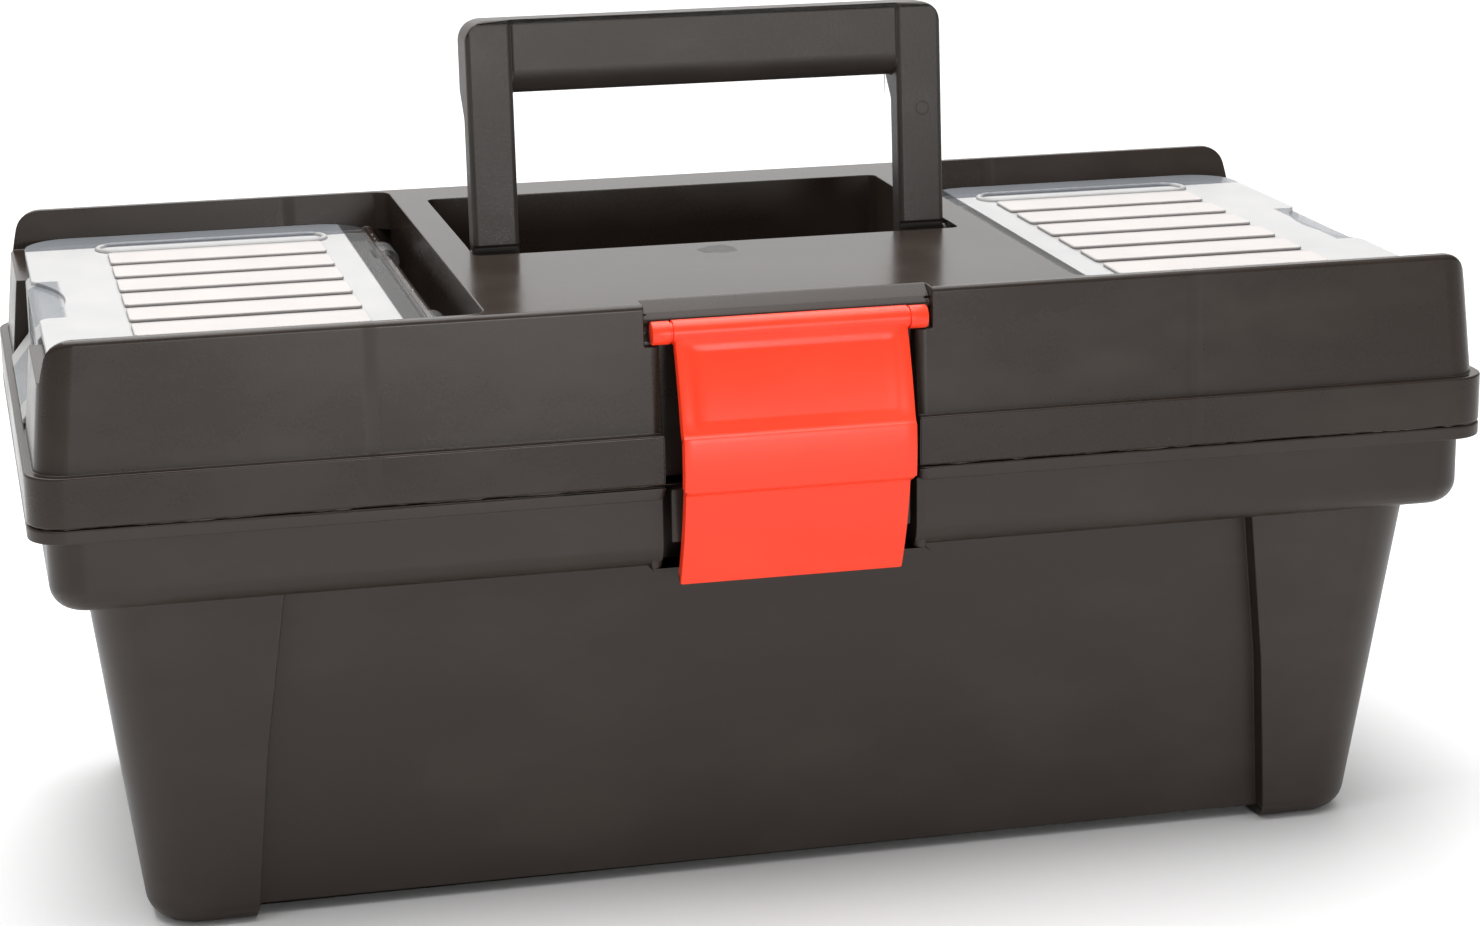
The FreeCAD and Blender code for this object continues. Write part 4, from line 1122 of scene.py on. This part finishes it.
@dataclass
class Latch(SubAssembly):
    """The snap latch: a rod, a dished plate with a raised band, and a hook.

    Attributes:
        half_width: half the width of the plate.
        narrow: how much narrower the lower panel is at each side.
        border: width of the borders beside the dished panel.
        dish: depth of the dish.
        thickness: of the plate.
        axis: (y, z) of the rod.
        rod_radius: radius of the rod.
        rod_half: half the length of the rod.
        neck: width of the groove between plate and stub.
        hook_half: half the length of the hook.
    """

    half_width: float = 25.3 * MM
    narrow: float = 0.7 * MM
    border: float = 3.4 * MM
    dish: float = 0.34 * MM
    thickness: float = 2.3 * MM
    axis: Spot = (-76.5 * MM, 128.8 * MM)
    rod_radius: float = 2.6 * MM
    rod_half: float = 30.0 * MM
    neck: float = 0.5 * MM
    hook_half: float = 20.0 * MM

    def face_line(self) -> list[tuple[float, float, float, float]]:
        """The outer face from the rod down.

        Returns:
            (y, z, dish, narrowing) at each level; the last two are shares from 0 to 1.
        """
        return [
            *self.arc((-77.05, 131.15), (-77.95, 130.72), (-78.5, 130.0), 6),
            *self.arc((-78.55, 129.1), (-78.95, 127.6), (-79.45, 125.9), 4),
            *self.arc((-79.75, 125.4), (-82.3, 118.4), (-84.6, 110.5), 22, dish=1.0),
            *self.arc((-84.85, 109.7), (-85.3, 108.6), (-86.0, 107.9), 5),
            *self.arc((-86.1, 107.6), (-86.38, 102.0), (-86.0, 96.4), 12),
            *self.arc((-85.9, 96.1), (-84.9, 95.45), (-83.7, 95.0), 4, narrow=0.6),
            *self.arc((-83.45, 94.6), (-80.9, 84.4), (-76.8, 74.3), 26, narrow=1.0),
            *self.arc((-76.65, 74.0), (-76.45, 73.65), (-76.1, 73.55), 3, narrow=1.0),
        ]

    @staticmethod
    def arc(first: Spot, through: Spot, last: Spot, steps: int, dish: float = 0.0,
            narrow: float = 0.0) -> list[tuple[float, float, float, float]]:
        """Levels of the face along a quadratic curve.

        Args:
            first: (y, z) of its start, in mm.
            through: what it passes half-way, in mm.
            last: its end, in mm.
            steps: how finely it is cut.
            dish: how much of the dish its levels have.
            narrow: how much they are narrowed.

        Returns:
            (y, z, dish, narrowing) at each level.
        """
        levels = []
        for k in range(steps + 1):
            t = k / steps
            y, z = (a * (1 - t) ** 2 + (4 * b - a - c) * t * (1 - t) + c * t * t
                    for a, b, c in zip(first, through, last))
            levels.append((y * MM, z * MM, dish, narrow))
        return levels

    def plate(self) -> bpy.types.Object:
        """The plate as rings of points from the rod down."""
        line = self.face_line()
        corner, rounding, spread = 0.15 * MM, 0.55 * MM, 0.8 * MM
        rings: list[list[Vector]] = []
        for k, (y, z, dish, narrow) in enumerate(line):
            before, after = line[max(k - 1, 0)], line[min(k + 1, len(line) - 1)]
            along = Vector((0, after[0] - before[0], after[1] - before[1])).normalized()
            out = Vector((0, along.z, -along.y))
            half = self.half_width - self.narrow * narrow
            low = -self.dish * dish
            inner = self.border - half
            edge = [(-half, -rounding), (-half + corner, -corner), (-half + rounding, 0.0),
                    (inner - spread, 0.0), (inner, low / 2), (inner + spread, low)]
            panel = [(x * half / 4, low) for x in range(-3, 4)]
            back = [(half, -self.thickness), (-half, -self.thickness)]
            ring = edge + panel + [(-x, h) for x, h in reversed(edge)] + back
            rings.append([Vector((x, y, z)) + out * h for x, h in ring])
        return self.dress(settle(from_bmesh("latch_plate", skin(rings)), 30.0),
                          stands_for=True)

    def rod(self) -> bpy.types.Object:
        """The rod, turned with a groove beside the plate and rounded ends."""
        count, edge = 40, 0.4 * MM
        gap, slope, slimmer = 0.15 * MM, 0.1 * MM, 0.12 * MM
        radius, half = self.rod_radius, self.rod_half
        root, stub = radius - self.neck, radius - slimmer
        inner = self.half_width + gap
        outer = inner + self.neck
        right = [(inner, radius), (inner + slope, root), (outer, root),
                 (outer + gap, stub), (half - edge, stub),
                 (half - edge * 0.3, radius - edge * 0.6), (half, radius - edge * 1.4)]
        outline = [(-x, r) for x, r in reversed(right)] + [(0.0, radius)] + right
        rings = [[(x, self.axis[0] + r * math.cos(math.tau * k / count),
                   self.axis[1] + r * math.sin(math.tau * k / count)) for k in range(count)]
                 for x, r in outline]
        return self.dress(settle(from_bmesh("latch_rod", skin(rings))))

    def hook(self) -> bpy.types.Object:
        """The hook behind the lower panel, from an outline of (y, z) in mm."""
        outline = ((-78.5, 83.0), (-78.5, 78.5), (-77.0, 78.5), (-74.0, 81.5), (-74.0, 83.0))
        ends = [[(x, y * MM, z * MM) for y, z in outline]
                for x in (-self.hook_half, self.hook_half)]
        return self.dress(bevel(from_bmesh("latch_hook", skin(ends)), self.edge))

    def build(self) -> list[bpy.types.Object]:
        """Makes the plate, the rod and the hook."""
        return [self.plate(), self.rod(), self.hook()]


@dataclass
class Cover(SubAssembly):
    """A clear cover of a compartment, with raised strips and rings.

    Attributes:
        side: the end that it is at.
        level: the height of its plate's upper face.
        strip_span: where the strips start and end, as distances from the middle.
        strip_width: width of a strip.
        strip_pitch: distance from strip to strip.
        strip_count: how many strips there are.
        strip_height: how far they stand up.
        strip_corner: rounding of their corners.
        ring_span: where the rings start and end.
        ring_place: their distance from the middle along Y.
        ring_width: width of a ring over all.
        ring_bead: radius of its bead.
        hinge_end: up to which distance from the middle the hinge's clips may stand higher.
        relief: the tree that grows the strips and rings.
    """

    side: Side = Side.LEFT
    level: float = COVER_LEVEL
    strip_span: Spot = STRIP_SPAN
    strip_width: float = 12.6 * MM
    strip_pitch: float = STRIP_PITCH
    strip_count: int = 6
    strip_height: float = 0.8 * MM
    strip_corner: float = 1.2 * MM
    ring_span: Spot = (83.6 * MM, 137.4 * MM)
    ring_place: float = 54.0 * MM
    ring_width: float = 9.6 * MM
    ring_bead: float = 0.8 * MM
    hinge_end: float = 80.0 * MM
    relief: GrownTree | None = field(default=None, repr=False)

    def flatten(self, shape: bmesh.types.BMesh) -> None:
        """Takes the solid's plain strips off, which finer ones replace.

        Args:
            shape: the copy of the solid.
        """
        for vertex in shape.verts:
            if vertex.co.z > self.level + 0.1 * MM and abs(vertex.co.x) > self.hinge_end:
                vertex.co.z = self.level

    def build(self) -> list[bpy.types.Object]:
        """Makes the cover as one piece."""
        name = f"{self.side.name.lower()}_cover_plate"
        plate = copy_solid(self.node, name, change=self.flatten)
        first, last = self.strip_span
        ring_first, ring_last = self.ring_span
        self.relief.apply(plate, {
            "Strip Length": last - first, "Strip Width": self.strip_width,
            "Strip Pitch": self.strip_pitch, "Strip Count": self.strip_count,
            "Strip Corner": self.strip_corner, "Strip Height": self.strip_height,
            "Field Middle": (first + last) / 2 * self.side.value,
            "Level": self.level, "Ring Length": ring_last - ring_first,
            "Ring Width": self.ring_width, "Ring Place": self.ring_place,
            "Ring Bead": self.ring_bead, "Material": SHELF.get(self.finish)})
        return [self.dress(bevel(plate, self.edge), stands_for=True)]


@dataclass
class Studio:
    """The pale floor, the soft lights and the camera.

    Attributes:
        eye: where the camera stands.
        yaw: how far it looks to the right of +Y, in degrees.
        pitch: how far it looks down, in degrees.
        roll: its tilt, in degrees.
        lens: focal length, in mm.
        sensor: width of the sensor, in mm.
        floor_half: half the length of the floor's sides.
    """

    eye: Point = (-0.1751, -0.7718, 0.2877)
    yaw: float = 13.266
    pitch: float = 14.761
    roll: float = -0.806
    lens: float = 84.68
    sensor: float = 36.0
    floor_half: float = 20.0

    def floor(self) -> None:
        """The floor, so large that no view shows its end."""
        mesh = bpy.data.meshes.new("floor")
        half = self.floor_half
        mesh.from_pydata([(-half, -half, 0), (half, -half, 0), (half, half, 0),
                          (-half, half, 0)], [], [(0, 1, 2, 3)])
        mesh.materials.append(SHELF.get(Backdrop()))
        add_object("floor", mesh)

    def camera(self) -> None:
        """The camera at the photograph's angle."""
        data = bpy.data.cameras.new("camera")
        data.lens = self.lens
        data.sensor_width = self.sensor
        data.clip_start = 0.01
        camera = bpy.data.objects.new("camera", data)
        bpy.context.scene.collection.objects.link(camera)
        turn = (Matrix.Rotation(math.radians(-self.yaw), 4, "Z")
                @ Matrix.Rotation(math.radians(90 - self.pitch), 4, "X")
                @ Matrix.Rotation(math.radians(self.roll), 4, "Z"))
        camera.matrix_world = Matrix.Translation(self.eye) @ turn
        bpy.context.scene.camera = camera

    def light(self, name: str, place: Point, aim: Point, size: float, power: float) -> None:
        """A square soft white light.

        Args:
            name: its name.
            place: where it hangs.
            aim: what it points at.
            size: the length of its sides.
            power: in watts.
        """
        data = bpy.data.lights.new(name, "AREA")
        data.shape = "SQUARE"
        data.size = size
        data.energy = power
        lamp = bpy.data.objects.new(name, data)
        bpy.context.scene.collection.objects.link(lamp)
        lamp.location = place
        lamp.rotation_euler = (Vector(aim) - Vector(place)).to_track_quat("-Z", "Y").to_euler()

    def sky(self) -> None:
        """The soft surroundings: bright overhead and behind, dim in front and at the ends."""
        world = bpy.data.worlds.new("studio")
        bpy.context.scene.world = world
        world.use_nodes = True
        around = Recipe(world.node_tree)
        coords = around.node("ShaderNodeTexCoord")
        split = around.node("ShaderNodeSeparateXYZ", sockets={0: coords.outputs["Generated"]})
        back, up = around.wire(split, 1), around.wire(split, 2)
        strength = 0.16 + up.rise(0.2, 0.8) * 0.42 + back.rise(0.35, 0.9) * 0.80
        background = world.node_tree.nodes["Background"]
        plug(world.node_tree, background.inputs["Color"], (1.0, 1.0, 1.0, 1.0))
        plug(world.node_tree, background.inputs["Strength"], strength)

    def build(self) -> None:
        """Sets up the whole studio."""
        scene = bpy.context.scene
        scene.view_settings.view_transform = "Standard"
        scene.view_settings.look = "None"
        self.sky()
        self.floor()
        self.light("top", (-0.10, 0.05, 0.95), (-0.10, 0.05, 0), 0.9, 12.0)
        self.light("far_floor", (0.45, 2.2, 1.5), (0.45, 2.1, 0), 2.4, 36.0)
        self.light("front", (0.20, -1.60, 0.22), (-0.04, 0, 0.10), 0.26, 6.5)
        self.camera()


def main() -> None:
    """Builds every sub-assembly, then the studio."""
    logging.basicConfig(level=logging.INFO, format="%(name)s %(message)s")
    relief = relief_tree()
    parts: list[SubAssembly] = [
        Tub("tub", Body.TUB, Slot.BODY, BODY_FINISH),
        Lid("lid", Body.LID, Slot.BODY, LID_FINISH),
        Latch("latch", Body.LATCH, Slot.LATCH, LATCH_FINISH),
        Handle("handle", Body.HANDLE, Slot.HANDLE, HANDLE_FINISH, edge=0.45 * MM),
        Cover("left_cover", Body.LEFT_COVER, Slot.COVER, COVER_FINISH, side=Side.LEFT,
              relief=relief),
        Cover("right_cover", Body.RIGHT_COVER, Slot.COVER, COVER_FINISH, side=Side.RIGHT,
              relief=relief),
        SubAssembly("tray", Body.TUB, Slot.TRAY, TRAY_FINISH),
        SubAssembly("hinge_pin_left", Body.TUB, Slot.PIN, PIN_FINISH, edge=0.2 * MM),
        SubAssembly("hinge_pin_right", Body.TUB, Slot.PIN, PIN_FINISH, edge=0.2 * MM),
    ]
    for part in parts:
        pieces = part.build()
        LOG.info("%s: %d pieces", part.node, len(pieces))
    Studio().build()


if __name__ == "__main__":
    main()
